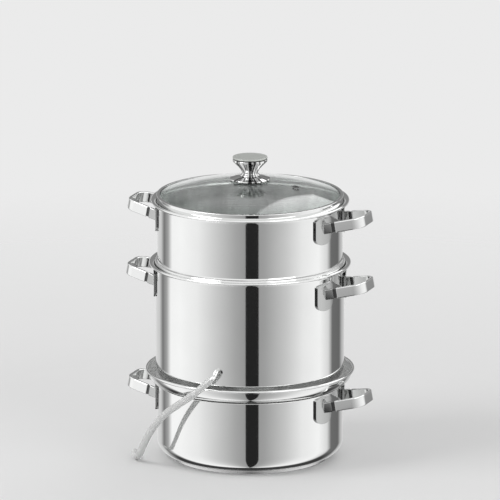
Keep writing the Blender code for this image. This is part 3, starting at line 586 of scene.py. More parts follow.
def add_lamp(name, place, size, power):
    """A square soft box that looks at the middle of the pots."""
    data = bpy.data.lights.new(name, "AREA")
    data.shape = "SQUARE"
    data.size = size
    data.energy = power
    lamp = add_object(name, data)
    lamp.location = place
    lamp.rotation_euler = (Vector(place) - Vector(VIEW_CENTRE)).to_track_quat("Z", "Y").to_euler()


def add_studio():
    add_floor()
    add_world()
    add_lamp("key_light", (-1.6, -1.5, 2.4), 1.4, 26)
    add_lamp("fill_light", (2.2, -1.2, 1.6), 1.6, 10)
    add_lamp("back_light", (0.3, 2.2, 2.2), 1.6, 12)


# Modelling

def enter(mode):
    """Go to edit mode or to object mode."""
    bpy.ops.object.mode_set(mode=mode)


def deselect():
    """Leave edit mode and let go of everything."""
    if bpy.context.object is not None and bpy.context.object.mode != "OBJECT":
        enter("OBJECT")
    bpy.ops.object.select_all(action="DESELECT")


def activate(piece):
    """Select one piece only, in object mode."""
    deselect()
    piece.select_set(True)
    bpy.context.view_layer.objects.active = piece


def one_vertex(name):
    """A new piece in edit mode that is a single vertex at the origin."""
    deselect()
    bpy.ops.mesh.primitive_plane_add(size=0.01)
    piece = bpy.context.object
    piece.name = name
    enter("EDIT")
    bpy.ops.mesh.select_mode(type="VERT")
    bpy.ops.mesh.select_all(action="SELECT")
    bpy.ops.mesh.merge(type="CENTER")
    return piece


def draw_line(places):
    """Move the vertex to the first place, and extrude it through the others."""
    bpy.ops.transform.translate(value=places[0])
    for here, there in zip(places, places[1:]):
        bpy.ops.mesh.extrude_region_move(TRANSFORM_OT_translate={"value": Vector(there) - Vector(here)})


def rounded(corners, step=ARC_STEP):
    """A line through (radius, height, fillet) corners, with each fillet as a fine arc."""
    line = []
    for index, (radius, height, fillet) in enumerate(corners):
        here = Vector((radius, height))
        if not fillet:
            line.append(here)
            continue
        back = (Vector(corners[index - 1][:2]) - here).normalized()
        ahead = (Vector(corners[(index + 1) % len(corners)][:2]) - here).normalized()
        half = back.angle(ahead) / 2
        centre = here + (back + ahead).normalized() * (fillet / sin(half))
        start = here + back * (fillet / tan(half)) - centre
        sweep = start.angle_signed(here + ahead * (fillet / tan(half)) - centre)
        count = max(2, ceil(abs(sweep) / step))
        for turn in range(count + 1):
            line.append(centre + Matrix.Rotation(-sweep * turn / count, 2) @ start)
    return without_repeats(line)


def without_repeats(line):
    """The places of a line, without those that lie on the one before."""
    return [place for index, place in enumerate(line)
            if not index or (place - line[index - 1]).length > MERGE]


def spin(steps, angle=2 * pi, **settings):
    """Sweep all that is drawn round the Z axis."""
    bpy.ops.mesh.select_all(action="SELECT")
    bpy.ops.mesh.spin(steps=steps, angle=angle, center=(0, 0, 0), axis=(0, 0, 1), **settings)


def turned(name, outline, steps, closed=True):
    """A piece spun round the Z axis from an outline of (radius, height) places."""
    piece = one_vertex(name)
    places = [(radius, 0, height) for radius, height in outline]
    if closed:
        places.append(places[0])
    draw_line(places)
    merge()
    spin(steps)
    close_up()
    return piece


def merge():
    """Merge the vertices that coincide."""
    bpy.ops.mesh.select_all(action="SELECT")
    bpy.ops.mesh.remove_doubles(threshold=MERGE)


def close_up():
    """Merge what coincides, turn all faces outwards, and leave edit mode."""
    merge()
    bpy.ops.mesh.normals_make_consistent(inside=False)
    enter("OBJECT")


def select(piece, kind, test):
    """In edit mode, select the vertices, edges or faces that pass a test."""
    enter("EDIT")
    bpy.ops.mesh.select_mode(type=kind)
    bpy.ops.mesh.select_all(action="DESELECT")
    enter("OBJECT")
    mesh = piece.data
    for part in {"VERT": mesh.vertices, "EDGE": mesh.edges, "FACE": mesh.polygons}[kind]:
        part.select = test(part)
    enter("EDIT")


def add_modifier(piece, kind, **settings):
    """Add a modifier and apply it."""
    activate(piece)
    modifier = piece.modifiers.new(kind.lower(), kind)
    for name, value in settings.items():
        setattr(modifier, name, value)
    bpy.ops.object.modifier_apply(modifier=modifier.name)


def combine(piece, operation, tool):
    """Join another piece to this one or cut it out, and remove that other piece."""
    add_modifier(piece, "BOOLEAN", operation=operation, solver="EXACT", object=tool)
    bpy.data.objects.remove(tool, do_unlink=True)


def sheet_wall(piece, thickness=SHEET):
    """Give a bent sheet its thickness, half to each side."""
    add_modifier(piece, "SOLIDIFY", thickness=thickness, offset=0.0, use_even_offset=True)


def round_edges(piece, width, steps):
    """Bevel the sharp edges."""
    add_modifier(piece, "BEVEL", width=width, segments=steps, limit_method="ANGLE", angle_limit=EDGE_ANGLE)


def settle(piece, body, nodes, slot, *materials):
    """Finish a piece: smooth shading, its materials, the nodes it stands for and the body it rides on."""
    activate(piece)
    bpy.ops.object.shade_smooth_by_angle(angle=SMOOTH_ANGLE)
    add_modifier(piece, "WEIGHTED_NORMAL", keep_sharp=True)
    for material in materials:
        piece.data.materials.append(material)
    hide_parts(*nodes.split())
    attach(piece, body)


def paint(piece, index, test):
    """Give the faces that pass a test another of the piece's materials."""
    for face in piece.data.polygons:
        if test(face.center, face.normal):
            face.material_index = index


def paint_inside(pot, top):
    """Give the inside of a pot below a height, its walls and its floor, the pot's second material."""
    def is_inside(centre, normal):
        distance = hypot(centre.x, centre.y)
        outward = (normal.x * centre.x + normal.y * centre.y) / max(distance, MERGE)
        return centre.z < top and (outward < -INSIDE_SHARE or normal.z > FLOOR_SHARE)
    paint(pot, 1, is_inside)


def copy_mesh(piece, name, matrix):
    """A copy of a piece with its own mesh, moved or mirrored."""
    mesh = piece.data.copy()
    mesh.transform(matrix)
    if matrix.determinant() < 0:
        mesh.flip_normals()
    return add_object(name, mesh)


# Materials that several pieces share

POLISHED = steel("polished_steel_outside", cool_grey(0.86), 0.055, 0.03)
# The insides' upright bars are painted reflections in their colour.
SATIN = steel("satin_steel_inside", cool_grey(0.80), 0.26, 0.0, metallic=0.45, bars=(2.5, 0.4, 0.6, 0.50))
# The basket's inside has painted reflections in its upright bars, and painted shade below the bead.
BASKET_INSIDE = steel("satin_steel_basket", cool_grey(0.88), 0.26, 0.0, metallic=0.2,
                      bars=(3.0, 0.42, 0.58, 0.50), painted_shade_below=BASKET_FLOOR + BEAD_HEIGHT)
GRIP_STEEL = steel("polished_grip_steel", cool_grey(0.88), 0.06, 0.02)
# The lugs' steel is a darker copy of the grips' polished steel: painted shade.
LUG_STEEL = steel("polished_lug_steel", cool_grey(0.52), 0.10, 0.02)
# The knob's and base disc's chrome has dark upright bars in its colour: painted reflections.
CHROME = steel("knob_chrome_mirror", cool_grey(0.87), 0.03, 0.01, bars=(4.0, 0.42, 0.52, 0.05))
# Dark steel; on the handles' necks and the basket's hole walls it is painted shade.
DARK_STEEL_AND_SHADE = steel("dark_steel_and_painted_shade", grey(0.10), 0.30, 0.02)
GLASS = clear_glass()
SILICONE = clear_silicone()
RUBBER = seal_rubber()
CAP_GREY = cap_enamel()
PLATE = turned_plate()


# Hose and spout

def spout_places():
    """The spout's path: out of the wall, round a bend, and straight under the hose."""
    base = Vector((0, -JUICE_RADIUS, JUICE_FLOOR + SPOUT_HEIGHT))
    tip = base + Vector((-SPOUT_SWING, -SPOUT_REACH, -SPOUT_DROP))
    aim = (Vector(HOSE_ROUTE[0]) - tip).normalized()
    sleeve = tip - aim * SPOUT_SLEEVE
    root = base + Vector((0, SHEET + FIT_GAP, 0))
    stub = base - Vector((0, SPOUT_STUB, 0))
    return [root, stub, sleeve - aim * SPOUT_ELBOW, sleeve, tip]


def smooth_path(places, step):
    """Evenly spaced places on a smooth curve through the given places."""
    places = [Vector(place) for place in places]
    ends = [places[0] * 2 - places[1]] + places + [places[-1] * 2 - places[-2]]
    path = [places[0]]
    for index in range(1, len(ends) - 2):
        before, here, there, after = ends[index - 1:index + 3]
        count = max(1, round((there - here).length / step))
        for part in range(1, count + 1):
            share = part / count
            pull = (here * 2 + (there - before) * share
                    + (before * 2 - here * 5 + there * 4 - after) * share ** 2
                    + (here * 3 - before - there * 3 + after) * share ** 3)
            path.append(pull / 2)
    return path


def tube(name, path, radius, wall):
    """An open tube along a path, with a wall inside its radius."""
    curve = bpy.data.curves.new(name, "CURVE")
    curve.dimensions = "3D"
    curve.bevel_depth = radius
    curve.bevel_resolution = TUBE_STEPS
    spline = curve.splines.new("POLY")
    spline.points.add(len(path) - 1)
    for point, place in zip(spline.points, path):
        point.co = (*place, 1)
    activate(add_object(name, curve))
    bpy.ops.object.convert(target="MESH")
    piece = bpy.context.object
    enter("EDIT")
    close_up()
    add_modifier(piece, "SOLIDIFY", thickness=wall, offset=-1.0, use_even_offset=True)
    return piece


def add_hose():
    """The curved steel spout and the clear hose pushed over its end."""
    places = spout_places()
    spout_path = smooth_path(places[:-1], SPOUT_RADIUS / 2) + smooth_path(places[-2:], SPOUT_RADIUS)[1:]
    spout = tube("outlet_spout_tube", spout_path, SPOUT_RADIUS, SPOUT_WALL)
    settle(spout, "juice_pot", "outlet_spout", "polished_steel", POLISHED)
    sleeve, tip = places[-2:]
    hose_path = smooth_path([sleeve, tip] + list(HOSE_ROUTE), HOSE_RADIUS)
    for place in hose_path:
        place.z = max(place.z, HOSE_RADIUS + FIT_GAP)
    hose = tube("juice_hose_tube", hose_path, HOSE_RADIUS, HOSE_WALL)
    settle(hose, "juice_pot", "juice_hose", "silicone_hose", SILICONE)


# Pots

def rolled(edge, top, roll):
    """The corners of an edge that is rolled over outwards."""
    low = top - 2 * roll
    return [(edge, top, roll), (edge, low, roll), (edge - ROLL_TAIL_SHARE * roll, low, 0)]


def rim_corners(mid, top):
    """A pot's flared and rolled rim, from its wall upwards."""
    return [(mid, top, RIM_FLARE)] + rolled(mid + RIM_FLARE + ROLL_RADIUS, top, ROLL_RADIUS)


def add_water_pot():
    """Wall with the seat fold and the collar that takes the juice pot, and the thick base plate."""
    mid = WATER_RADIUS - SHEET / 2
    floor = WATER_FLOOR + SHEET / 2
    inner = SEAT_RADIUS + SHEET / 2
    fold = SEAT_FOLD_PITCH / 2
    collar_foot = WATER_GROOVE_HEIGHT + SEAT_FOLD_PITCH
    lip = WATER_LIP_RADIUS - SHEET / 2 - 2 * ROLL_RADIUS
    collar_top = WATER_RIM - SHEET / 2 - ROLL_RADIUS
    line = rounded([(0, floor, 0), (mid, floor, WATER_CORNER - SHEET / 2),
                    (mid, WATER_GROOVE_HEIGHT, WATER_GROOVE_EDGE), (inner, WATER_GROOVE_HEIGHT, fold),
                    (inner, collar_foot, fold), (mid, collar_foot, 0)])
    for step in range(1, COLLAR_STEPS):
        angle = pi / 2 * step / COLLAR_STEPS
        line.append(Vector((mid + (lip - mid) * sin(angle),
                            collar_foot + (collar_top - collar_foot) * (1 - cos(angle)))))
    top, low = collar_top + ROLL_RADIUS, collar_top - ROLL_RADIUS
    edge = lip + 2 * ROLL_RADIUS
    line += rounded([(lip, collar_top, 0), (lip, top, ROLL_RADIUS), (edge, top, ROLL_RADIUS),
                     (edge, low, ROLL_RADIUS), (edge - ROLL_RADIUS, low, 0)])
    pot = turned("water_pot_wall", line, POT_STEPS, closed=False)
    sheet_wall(pot)
    settle(pot, "water_pot", "water_pot_shell", "polished_steel", POLISHED, SATIN)
    paint_inside(pot, WATER_RIM - 2 * ROLL_RADIUS)
    outline = rounded([(0, 0, 0), (BASE_RADIUS, 0, BASE_LOW_EDGE),
                       (BASE_RADIUS, BASE_THICKNESS, BASE_TOP_EDGE), (0, BASE_THICKNESS, 0)])
    plate = turned("water_pot_base", outline, POT_STEPS, closed=False)
    settle(plate, "water_pot", "water_pot_base_plate", "base_plate", PLATE)


def add_juice_pot():
    """Wall and floor with the chimney's hole, and the steam chimney welded over it."""
    mid = JUICE_RADIUS - SHEET / 2
    floor = JUICE_FLOOR + SHEET / 2
    line = rounded([(CHIMNEY_FLOOR_HOLE, floor, 0), (mid, floor, JUICE_CORNER - SHEET / 2)]
                   + rim_corners(mid, JUICE_RIM - SHEET / 2))
    pot = turned("juice_pot_wall", line, POT_STEPS, closed=False)
    sheet_wall(pot)
    settle(pot, "juice_pot", "juice_pot_floor juice_pot_shell juice_pot_rim", "polished_steel",
           POLISHED, SATIN)
    paint_inside(pot, JUICE_RIM - RIM_FLARE)
    foot = JUICE_FLOOR + SHEET + FIT_GAP + SHEET / 2
    neck = CHIMNEY_RADIUS - SHEET / 2
    top = JUICE_FLOOR + CHIMNEY_HEIGHT - SHEET / 2
    line = rounded([(CHIMNEY_FOOT_RADIUS, foot, 0), (neck, foot, CHIMNEY_FILLET),
                    (neck, top, CHIMNEY_RING_ROLL)]
                   + rolled(neck + 2 * CHIMNEY_RING_ROLL, top, CHIMNEY_RING_ROLL))
    chimney = turned("steam_chimney_tube", line, KNOB_STEPS, closed=False)
    sheet_wall(chimney)
    settle(chimney, "juice_pot", "steam_chimney", "satin_steel", SATIN, POLISHED)
    paint(chimney, 1, lambda centre, normal: centre.z > top - 2 * CHIMNEY_RING_ROLL - SHEET)


def lower_radius(height):
    """The basket's radius at a height below its bead."""
    drop = max(0.0, LOWER_CENTRE.y - height)
    return LOWER_CENTRE.x + sqrt(LOWER_CORNER ** 2 - drop ** 2)


def true_normal(place, facing):
    """The unpierced sheet's normal at a place, on the side that a face looks to; none on a hole's wall."""
    distance = hypot(place.x, place.y)
    outward = max(0.0, distance - LOWER_CENTRE.x) / max(distance, MERGE)
    drop = min(0.0, place.z - LOWER_CENTRE.y)
    normal = Vector((place.x * outward, place.y * outward, drop)).normalized()
    share = normal.dot(facing)
    if place.z > PIERCED_TOP or abs(share) < SHEET_SHARE:
        return Vector((0, 0, 0))
    return normal * copysign(1.0, share)


def basket_line():
    """The basket's profile, with evenly divided stretches where it is pierced."""
    floor = BASKET_FLOOR + SHEET / 2
    lower = BASKET_LOWER_RADIUS - SHEET / 2
    mid = BASKET_RADIUS - SHEET / 2
    swell = mid + SHEET + BEAD_ROLL
    bead_low = BASKET_FLOOR + BEAD_HEIGHT - BEAD_ROLL
    bead_top = BASKET_FLOOR + BEAD_HEIGHT + BEAD_ROLL
    pierced_low = PIERCED_TOP - ROWS * ROW_PITCH
    line = [Vector((0, floor))]
    for radius in FLOOR_RING_RADII:
        for step in range(CELL_STEPS + 1):
            line.append(Vector((radius + FLOOR_RING_WIDTH * (step / CELL_STEPS - 0.5), floor)))
    last_angle = asin((LOWER_CENTRE.y - pierced_low) / LOWER_CORNER)
    for step in range(BASKET_CORNER_STEPS):
        angle = pi / 2 + (last_angle - pi / 2) * step / BASKET_CORNER_STEPS
        line.append(LOWER_CENTRE + Vector((cos(angle), -sin(angle))) * LOWER_CORNER)
    for step in range(ROWS * CELL_STEPS + 1):
        height = pierced_low + ROW_PITCH * step / CELL_STEPS
        line.append(Vector((lower_radius(height), height)))
    bead = [(lower, PIERCED_TOP, 0), (lower, bead_low - BEAD_STEP, BEAD_LOW_FILLET),
            (swell - BEAD_ROLL, bead_low, 0), (swell, bead_low, BEAD_ROLL), (swell, bead_top, BEAD_ROLL),
            (swell - BEAD_ROLL, bead_top, 0), (mid, bead_top + BEAD_STEP, BEAD_TOP_FILLET)]
    line += rounded(bead + rim_corners(mid, BASKET_RIM - SHEET / 2))[1:]
    return without_repeats(line)


def pierce(mesh, angle, radius, height, on_floor):
    """Pull the twelve vertices round a cell's middle into a ring; return the four inside it."""
    outward = Vector((cos(angle), sin(angle), 0))
    across = Vector((-sin(angle), cos(angle), 0))
    middle = outward * radius + Vector((0, 0, height))
    side_step = radius * 2 * pi / COLUMNS / CELL_STEPS
    rise_step = (FLOOR_RING_WIDTH if on_floor else ROW_PITCH) / CELL_STEPS
    inside = []
    for vertex in mesh.vertices:
        reach = vertex.co - middle
        if reach.length > ROW_PITCH:
            continue
        turn = atan2(vertex.co.y, vertex.co.x) - angle
        side = round(turn * radius / side_step * 2) / 2
        rise = round((reach.dot(outward) if on_floor else reach.z) / rise_step * 2) / 2
        steps_away = max(abs(side), abs(rise))
        if steps_away < 1:
            inside.append(vertex.index)
        if not 1 < steps_away < 2:
            continue
        clock = HOLE_ARC_STEP * (round(atan2(rise, side) / HOLE_ARC_STEP - 0.5) + 0.5)
        width, depth = cos(clock) * HOLE_RADIUS, sin(clock) * HOLE_RADIUS
        if on_floor:
            vertex.co = middle + across * width + outward * depth
        else:
            place = angle + width / radius
            there = lower_radius(height + depth)
            vertex.co = (there * cos(place), there * sin(place), height + depth)
    return inside


def add_basket():
    """One strip of two columns is pierced, then copied round the axis."""
    piece = one_vertex("basket_wall")
    draw_line([(radius, 0, height) for radius, height in basket_line()])
    column = 2 * pi / COLUMNS
    spin(CELL_STEPS * COLUMNS_IN_STRIP, column * COLUMNS_IN_STRIP)
    merge()
    enter("OBJECT")
    mesh = piece.data
    # The side that the sweep went to
    spin_side = 1 if max(vertex.co.y for vertex in mesh.vertices) > MERGE else -1
    doomed = []
    for index in range(COLUMNS_IN_STRIP):
        angle = spin_side * column * (index + 0.5)
        for row in range(ROWS):
            height = PIERCED_TOP - ROW_PITCH * (row + 0.5)
            doomed += pierce(mesh, angle, lower_radius(height), height, False)
        if index == 0:
            for radius in FLOOR_RING_RADII:
                doomed += pierce(mesh, angle, radius, BASKET_FLOOR + SHEET / 2, True)
    select(piece, "VERT", lambda vertex: vertex.index in doomed)
    bpy.ops.mesh.delete(type="VERT")
    spin(COLUMNS // COLUMNS_IN_STRIP, dupli=True)
    close_up()
    sheet_wall(piece)
    settle(piece, "basket", "basket_shell", "polished_steel", POLISHED, BASKET_INSIDE, DARK_STEEL_AND_SHADE)
    paint_inside(piece, BASKET_RIM - RIM_FLARE)
    # The holes' walls get the dark steel: painted shade inside the holes.
    paint(piece, 2, lambda centre, normal: centre.z < PIERCED_TOP and not true_normal(centre, normal).length)
    mesh = piece.data
    mesh.normals_split_custom_set([
        true_normal(mesh.vertices[mesh.loops[index].vertex_index].co, face.normal)
        for face in mesh.polygons for index in face.loop_indices])


# Handles

def arm_line(radius):
    """Where an arm starts on the wall, its direction, and the corner it runs to, on the +Y side."""
    start = Vector((sqrt(radius ** 2 - GRIP_HALF_SPAN ** 2), GRIP_HALF_SPAN))
    corner = Vector((radius + GRIP_REACH - GRIP_THICKNESS / 2, GRIP_OUTER_HALF_SPAN))
    return start, (corner - start).normalized(), corner


def rise_along(piece, radius, height):
    """Lift a level piece to its height on the pot, and tip it up towards the outer bar."""
    start, along, corner = arm_line(radius)
    slope = atan(GRIP_RISE / (corner.x - start.x))
    for vertex in piece.data.vertices:
        x, _, z = vertex.co
        share = min(1.0, max(0.0, (x - start.x) / (BOSS_REACH * along.x)))
        vertex.co.x = x - z * sin(slope) * share
        vertex.co.z = height + (x - start.x) * tan(slope) + z * cos(slope)


def make_grip(radius, height):
    """The loop from one neck round its nose to the other, as a bent flat bar with soft edges."""
    start, along, corner = arm_line(radius)
    first = start + along * (BOSS_REACH + NECK_LENGTH + FIT_GAP)
    line = rounded([(*first, 0), (*corner, GRIP_CORNER), (corner.x, -corner.y, GRIP_CORNER),
                    (first.x, -first.y, 0)], GRIP_ARC_STEP)
    piece = one_vertex("grip_pattern")
    draw_line([(x, y, -GRIP_HEIGHT / 2) for x, y in line])
    bpy.ops.mesh.select_all(action="SELECT")
    bpy.ops.mesh.extrude_region_move(TRANSFORM_OT_translate={"value": (0, 0, GRIP_HEIGHT)})
    close_up()
    sheet_wall(piece, GRIP_THICKNESS)
    round_edges(piece, GRIP_EDGE, GRIP_EDGE_STEPS)
    rise_along(piece, radius, height)
    return piece


def make_pad(radius, height):
    """The shield-shaped pad that lies on the wall, rounded below."""
    start, _, _ = arm_line(radius)
    centre_angle = atan2(start.y, start.x)
    deselect()
    bpy.ops.mesh.primitive_grid_add(x_subdivisions=PAD_STEPS[0], y_subdivisions=PAD_STEPS[1], size=2)
    pad = bpy.context.object
    middle = height + FOOT_HEIGHT * (FOOT_RISE_SHARE - 0.5)
    for vertex in pad.data.vertices:
        share = sin(vertex.co.x * pi / 2)
        bulge = sqrt(max(0.0, 1 - abs(share) ** FOOT_ROUND_POWER))
        low, high = (FOOT_HEIGHT / 2 * (at_side + (1 - at_side) * bulge)
                     for at_side in (FOOT_SIDE_LOW_SHARE, FOOT_SIDE_HIGH_SHARE))
        angle = centre_angle + share * FOOT_WIDTH / 2 / radius
        reach = radius + FIT_GAP + FOOT_THICKNESS / 2
        level = middle - low + (high + low) * (vertex.co.y + 1) / 2
        vertex.co = (reach * cos(angle), reach * sin(angle), level)
    enter("EDIT")
    close_up()
    sheet_wall(pad, FOOT_THICKNESS)
    round_edges(pad, FOOT_EDGE, PAD_EDGE_STEPS)
    return pad


def make_boss(radius, height):
    """The block that carries the grip's end, flared at the pad, with the slim neck on its outer end."""
    start, along, _ = arm_line(radius)
    deselect()
    bpy.ops.mesh.primitive_cube_add(size=1, location=(BOSS_REACH / 2, 0, 0),
                                    scale=(BOSS_REACH, GRIP_THICKNESS, GRIP_HEIGHT))
    boss = bpy.context.object
    bpy.ops.object.transform_apply(location=True, rotation=True, scale=True)

    def runs_outwards(edge):
        one, other = (boss.data.vertices[index].co for index in edge.vertices)
        return abs(one.x - other.x) > BOSS_REACH / 2

    select(boss, "EDGE", runs_outwards)
    bpy.ops.mesh.bevel(offset=GRIP_EDGE, segments=GRIP_EDGE_STEPS, affect="EDGES")
    bpy.ops.mesh.select_all(action="SELECT")
    bpy.ops.mesh.bisect(plane_co=(BOSS_FLARE_LENGTH, 0, 0), plane_no=(1, 0, 0))
    select(boss, "FACE", lambda face: face.normal.x > ARM_SHARE)
    bpy.ops.mesh.inset(thickness=NECK_INSET)
    bpy.ops.mesh.extrude_region_move(TRANSFORM_OT_translate={"value": (NECK_LENGTH, 0, 0)})
    enter("OBJECT")
    across = Vector((-along.y, along.x))
    for vertex in boss.data.vertices:
        at_root = vertex.co.x < MERGE
        width = vertex.co.y * (BOSS_FLARE if at_root else 1)
        place = start + along * vertex.co.x + across * width
        if at_root:
            run = place.dot(along)
            root = radius + FIT_GAP + FOOT_THICKNESS / 2
            place += along * (sqrt(run ** 2 - place.length_squared + root ** 2) - run)
        vertex.co.xy = place
    rise_along(boss, radius, height)
    return boss


def make_foot(radius, height):
    """Pad and boss as one piece."""
    pad = make_pad(radius, height)
    combine(pad, "UNION", make_boss(radius, height))
    return pad


def add_handles(pot, radius, rim):
    """Two loop grips and their four feet."""
    height = rim - GRIP_DROPS[pot]
    grip = make_grip(radius, height)
    foot = make_foot(radius, height)
    start, along, _ = arm_line(radius)
    for side, turn in (("right", 1), ("left", -1)):
        name = pot + "_" + side
        swing = Matrix.Diagonal((turn, 1, 1, 1))
        settle(copy_mesh(grip, name + "_loop", swing), pot, name + "_grip", "polished_steel", GRIP_STEEL)
        for end, flip in (("rear", 1), ("front", -1)):
            place = Matrix.Diagonal((turn, flip, 1, 1))
            lug = copy_mesh(foot, "{}_{}_lug".format(name, end), place)
            settle(lug, pot, "{}_{}_foot".format(name, end), "polished_steel", LUG_STEEL, DARK_STEEL_AND_SHADE)
            origin = Vector((start.x * turn, start.y * flip))
            heading = Vector((along.x * turn, along.y * flip))
            # The neck gets the dark steel: painted shade between boss and grip.
            paint(lug, 1, lambda centre, normal: (centre.xy - origin).dot(heading) > BOSS_REACH - MERGE)
    bpy.data.objects.remove(grip)
    bpy.data.objects.remove(foot)


# Lid

def glass_top(radius):
    """The height of the dome's upper side."""
    return GLASS_THICKNESS + GLASS_CENTRE + sqrt(GLASS_CURVE ** 2 - radius ** 2)


def glass_under(radius):
    """The height of the dome's underside."""
    return glass_top(radius) - GLASS_THICKNESS


def vent_place():
    """The matrix that puts an upright piece square to the glass at the vent."""
    middle = (glass_top(VENT_DISTANCE) + glass_under(VENT_DISTANCE)) / 2
    normal = Vector((VENT_DISTANCE, 0, glass_under(VENT_DISTANCE) - GLASS_CENTRE)).normalized()
    tilt = normal.to_track_quat("Z", "Y").to_matrix().to_4x4()
    return Matrix.Translation((VENT_DISTANCE, 0, middle)) @ tilt


def add_glass():
    """The domed pane with its two holes."""
    width = GLASS_RADIUS - GLASS_HOLE_RADIUS
    radii = [GLASS_HOLE_RADIUS + width * step / GLASS_STEPS for step in range(GLASS_STEPS + 1)]
    outline = [(radius, glass_top(radius)) for radius in radii]
    outline += [(radius, glass_under(radius)) for radius in reversed(radii)]
    glass = turned("lid_pane", outline, LID_STEPS)
    deselect()
    bpy.ops.mesh.primitive_cylinder_add(vertices=SMALL_STEPS, radius=VENT_SHANK_RADIUS + FIT_GAP,
                                        depth=4 * GLASS_THICKNESS)
    drill = bpy.context.object
    drill.data.transform(vent_place())
    combine(glass, "DIFFERENCE", drill)
    settle(glass, "lid", "lid_glass", "glass", GLASS)


def add_band():
    """The steel band folded round the glass's edge."""
    low, high = LID_FLOOR, LID_FLOOR + BAND_HEIGHT
    shelf = LID_FLOOR + BAND_SHELF_HEIGHT
    inside = LID_RADIUS - BAND_WALL
    lip = inside - BAND_LIP
    outline = rounded([
        (inside - BAND_SHELF, low + BAND_SHELF_LIFT, BAND_SHELF_EDGE),
        (inside - BAND_TOE_INSET, low + BAND_TOE_LIFT, BAND_TOE_EDGE),
        (LID_RADIUS - BAND_CHAMFER, low, BAND_LOW_EDGE),
        (LID_RADIUS, low + BAND_CHAMFER, BAND_SIDE_EDGE), (LID_RADIUS, high, BAND_TOP_EDGE),
        (lip, glass_top(lip) + FIT_GAP + BAND_WALL / 2, BAND_LIP_EDGE),
        (lip, glass_top(lip) + FIT_GAP, 0), (inside, glass_top(inside) + FIT_GAP, 0),
        (inside, shelf, 0), (inside - BAND_SHELF, shelf, BAND_SHELF_EDGE),
    ], BAND_ARC_STEP)
    settle(turned("lid_rim_band", outline, LID_STEPS), "lid", "lid_band", "polished_steel", POLISHED)


def add_vent():
    """The eyelet that lets steam out through the glass."""
    half = GLASS_THICKNESS / 2 + FIT_GAP
    outer = half + VENT_FLANGE_HEIGHT
    outline = rounded([
        (VENT_BORE_RADIUS, -outer, VENT_FOLD), (VENT_FLANGE_RADIUS, -outer, VENT_LOW_EDGE),
        (VENT_FLANGE_RADIUS, -half, VENT_FOLD), (VENT_SHANK_RADIUS, -half, 0),
        (VENT_SHANK_RADIUS, half, 0), (VENT_FLANGE_RADIUS, half, VENT_FOLD),
        (VENT_FLANGE_RADIUS - VENT_DRAFT, outer, VENT_TOP_EDGE),
        (VENT_BORE_RADIUS, outer, VENT_MOUTH_EDGE),
    ], VENT_ARC_STEP)
    eyelet = turned("steam_vent_eyelet", outline, SMALL_STEPS)
    eyelet.data.transform(vent_place())
    settle(eyelet, "lid", "vent_eyelet", "satin_steel", DARK_STEEL_AND_SHADE)


def add_knob():
    """Gasket, base disc, knob, cap, washer and screw, from the glass upwards and below it."""
    bore = SCREW_RADIUS + FIT_GAP
    gasket_low = glass_top(0) + FIT_GAP
    gasket_top = gasket_low + GASKET_THICKNESS
    sag = glass_top(0) - glass_top(GASKET_RADIUS)
    outline = rounded([(bore, gasket_low, 0), (GASKET_RADIUS, gasket_low - sag, GASKET_LOW_EDGE),
                       (GASKET_RADIUS, gasket_top - sag, GASKET_TOP_EDGE), (bore, gasket_top, 0)])
    settle(turned("knob_seal", outline, KNOB_STEPS), "lid", "knob_gasket", "seal_rubber", RUBBER)
    disc_low = gasket_top + FIT_GAP
    edge = disc_low - sag
    shoulder = edge + DISC_EDGE_HEIGHT
    crown = shoulder + DISC_RISE
    half_way = (DISC_RADIUS + KNOB_FOOT_RADIUS) / 2
    outline = rounded([
        (bore, disc_low, 0), (GASKET_RADIUS, edge, 0), (DISC_RADIUS, edge, DISC_LOW_EDGE),
        (DISC_RADIUS, shoulder, DISC_TOP_EDGE),
        (half_way, shoulder + DISC_RISE * DISC_MIDDLE_SHARE, DISC_MIDDLE_CURVE),
        (KNOB_FOOT_RADIUS, crown, DISC_NECK_CURVE), (bore, crown, 0),
    ], DISC_ARC_STEP)
    settle(turned("knob_rose", outline, KNOB_STEPS), "lid", "knob_base_disc", "knob_chrome", CHROME)
    foot = crown + FIT_GAP
    add_knob_body(foot, bore)
    add_cap(foot + KNOB_HEIGHT)
    washer_low = glass_under(bore) - FIT_GAP - WASHER_THICKNESS
    washer_top = glass_under(WASHER_RADIUS) - FIT_GAP
    outline = rounded([(bore, washer_low, 0), (WASHER_RADIUS, washer_low, WASHER_EDGE),
                       (WASHER_RADIUS, washer_top, WASHER_EDGE), (bore, washer_top, 0)])
    settle(turned("screw_washer", outline, SMALL_STEPS), "lid", "knob_washer", "seal_rubber", RUBBER)
    head_top = washer_low - FIT_GAP
    head_low = head_top - SCREW_HEAD_HEIGHT
    end = foot + SCREW_DEPTH - FIT_GAP
    outline = rounded([
        (0, head_low, 0), (SCREW_HEAD_RADIUS * SCREW_DOME_SHARE, head_low, SCREW_DOME_CURVE),
        (SCREW_HEAD_RADIUS, head_low + SCREW_HEAD_HEIGHT / 2, SCREW_HEAD_EDGE),
        (SCREW_HEAD_RADIUS, head_top, SCREW_EDGE), (SCREW_RADIUS, head_top, 0),
        (SCREW_RADIUS, end, SCREW_EDGE), (0, end, 0),
    ])
    screw = turned("knob_fixing_screw", outline, SMALL_STEPS, closed=False)
    settle(screw, "lid", "knob_screw", "satin_steel", SATIN)


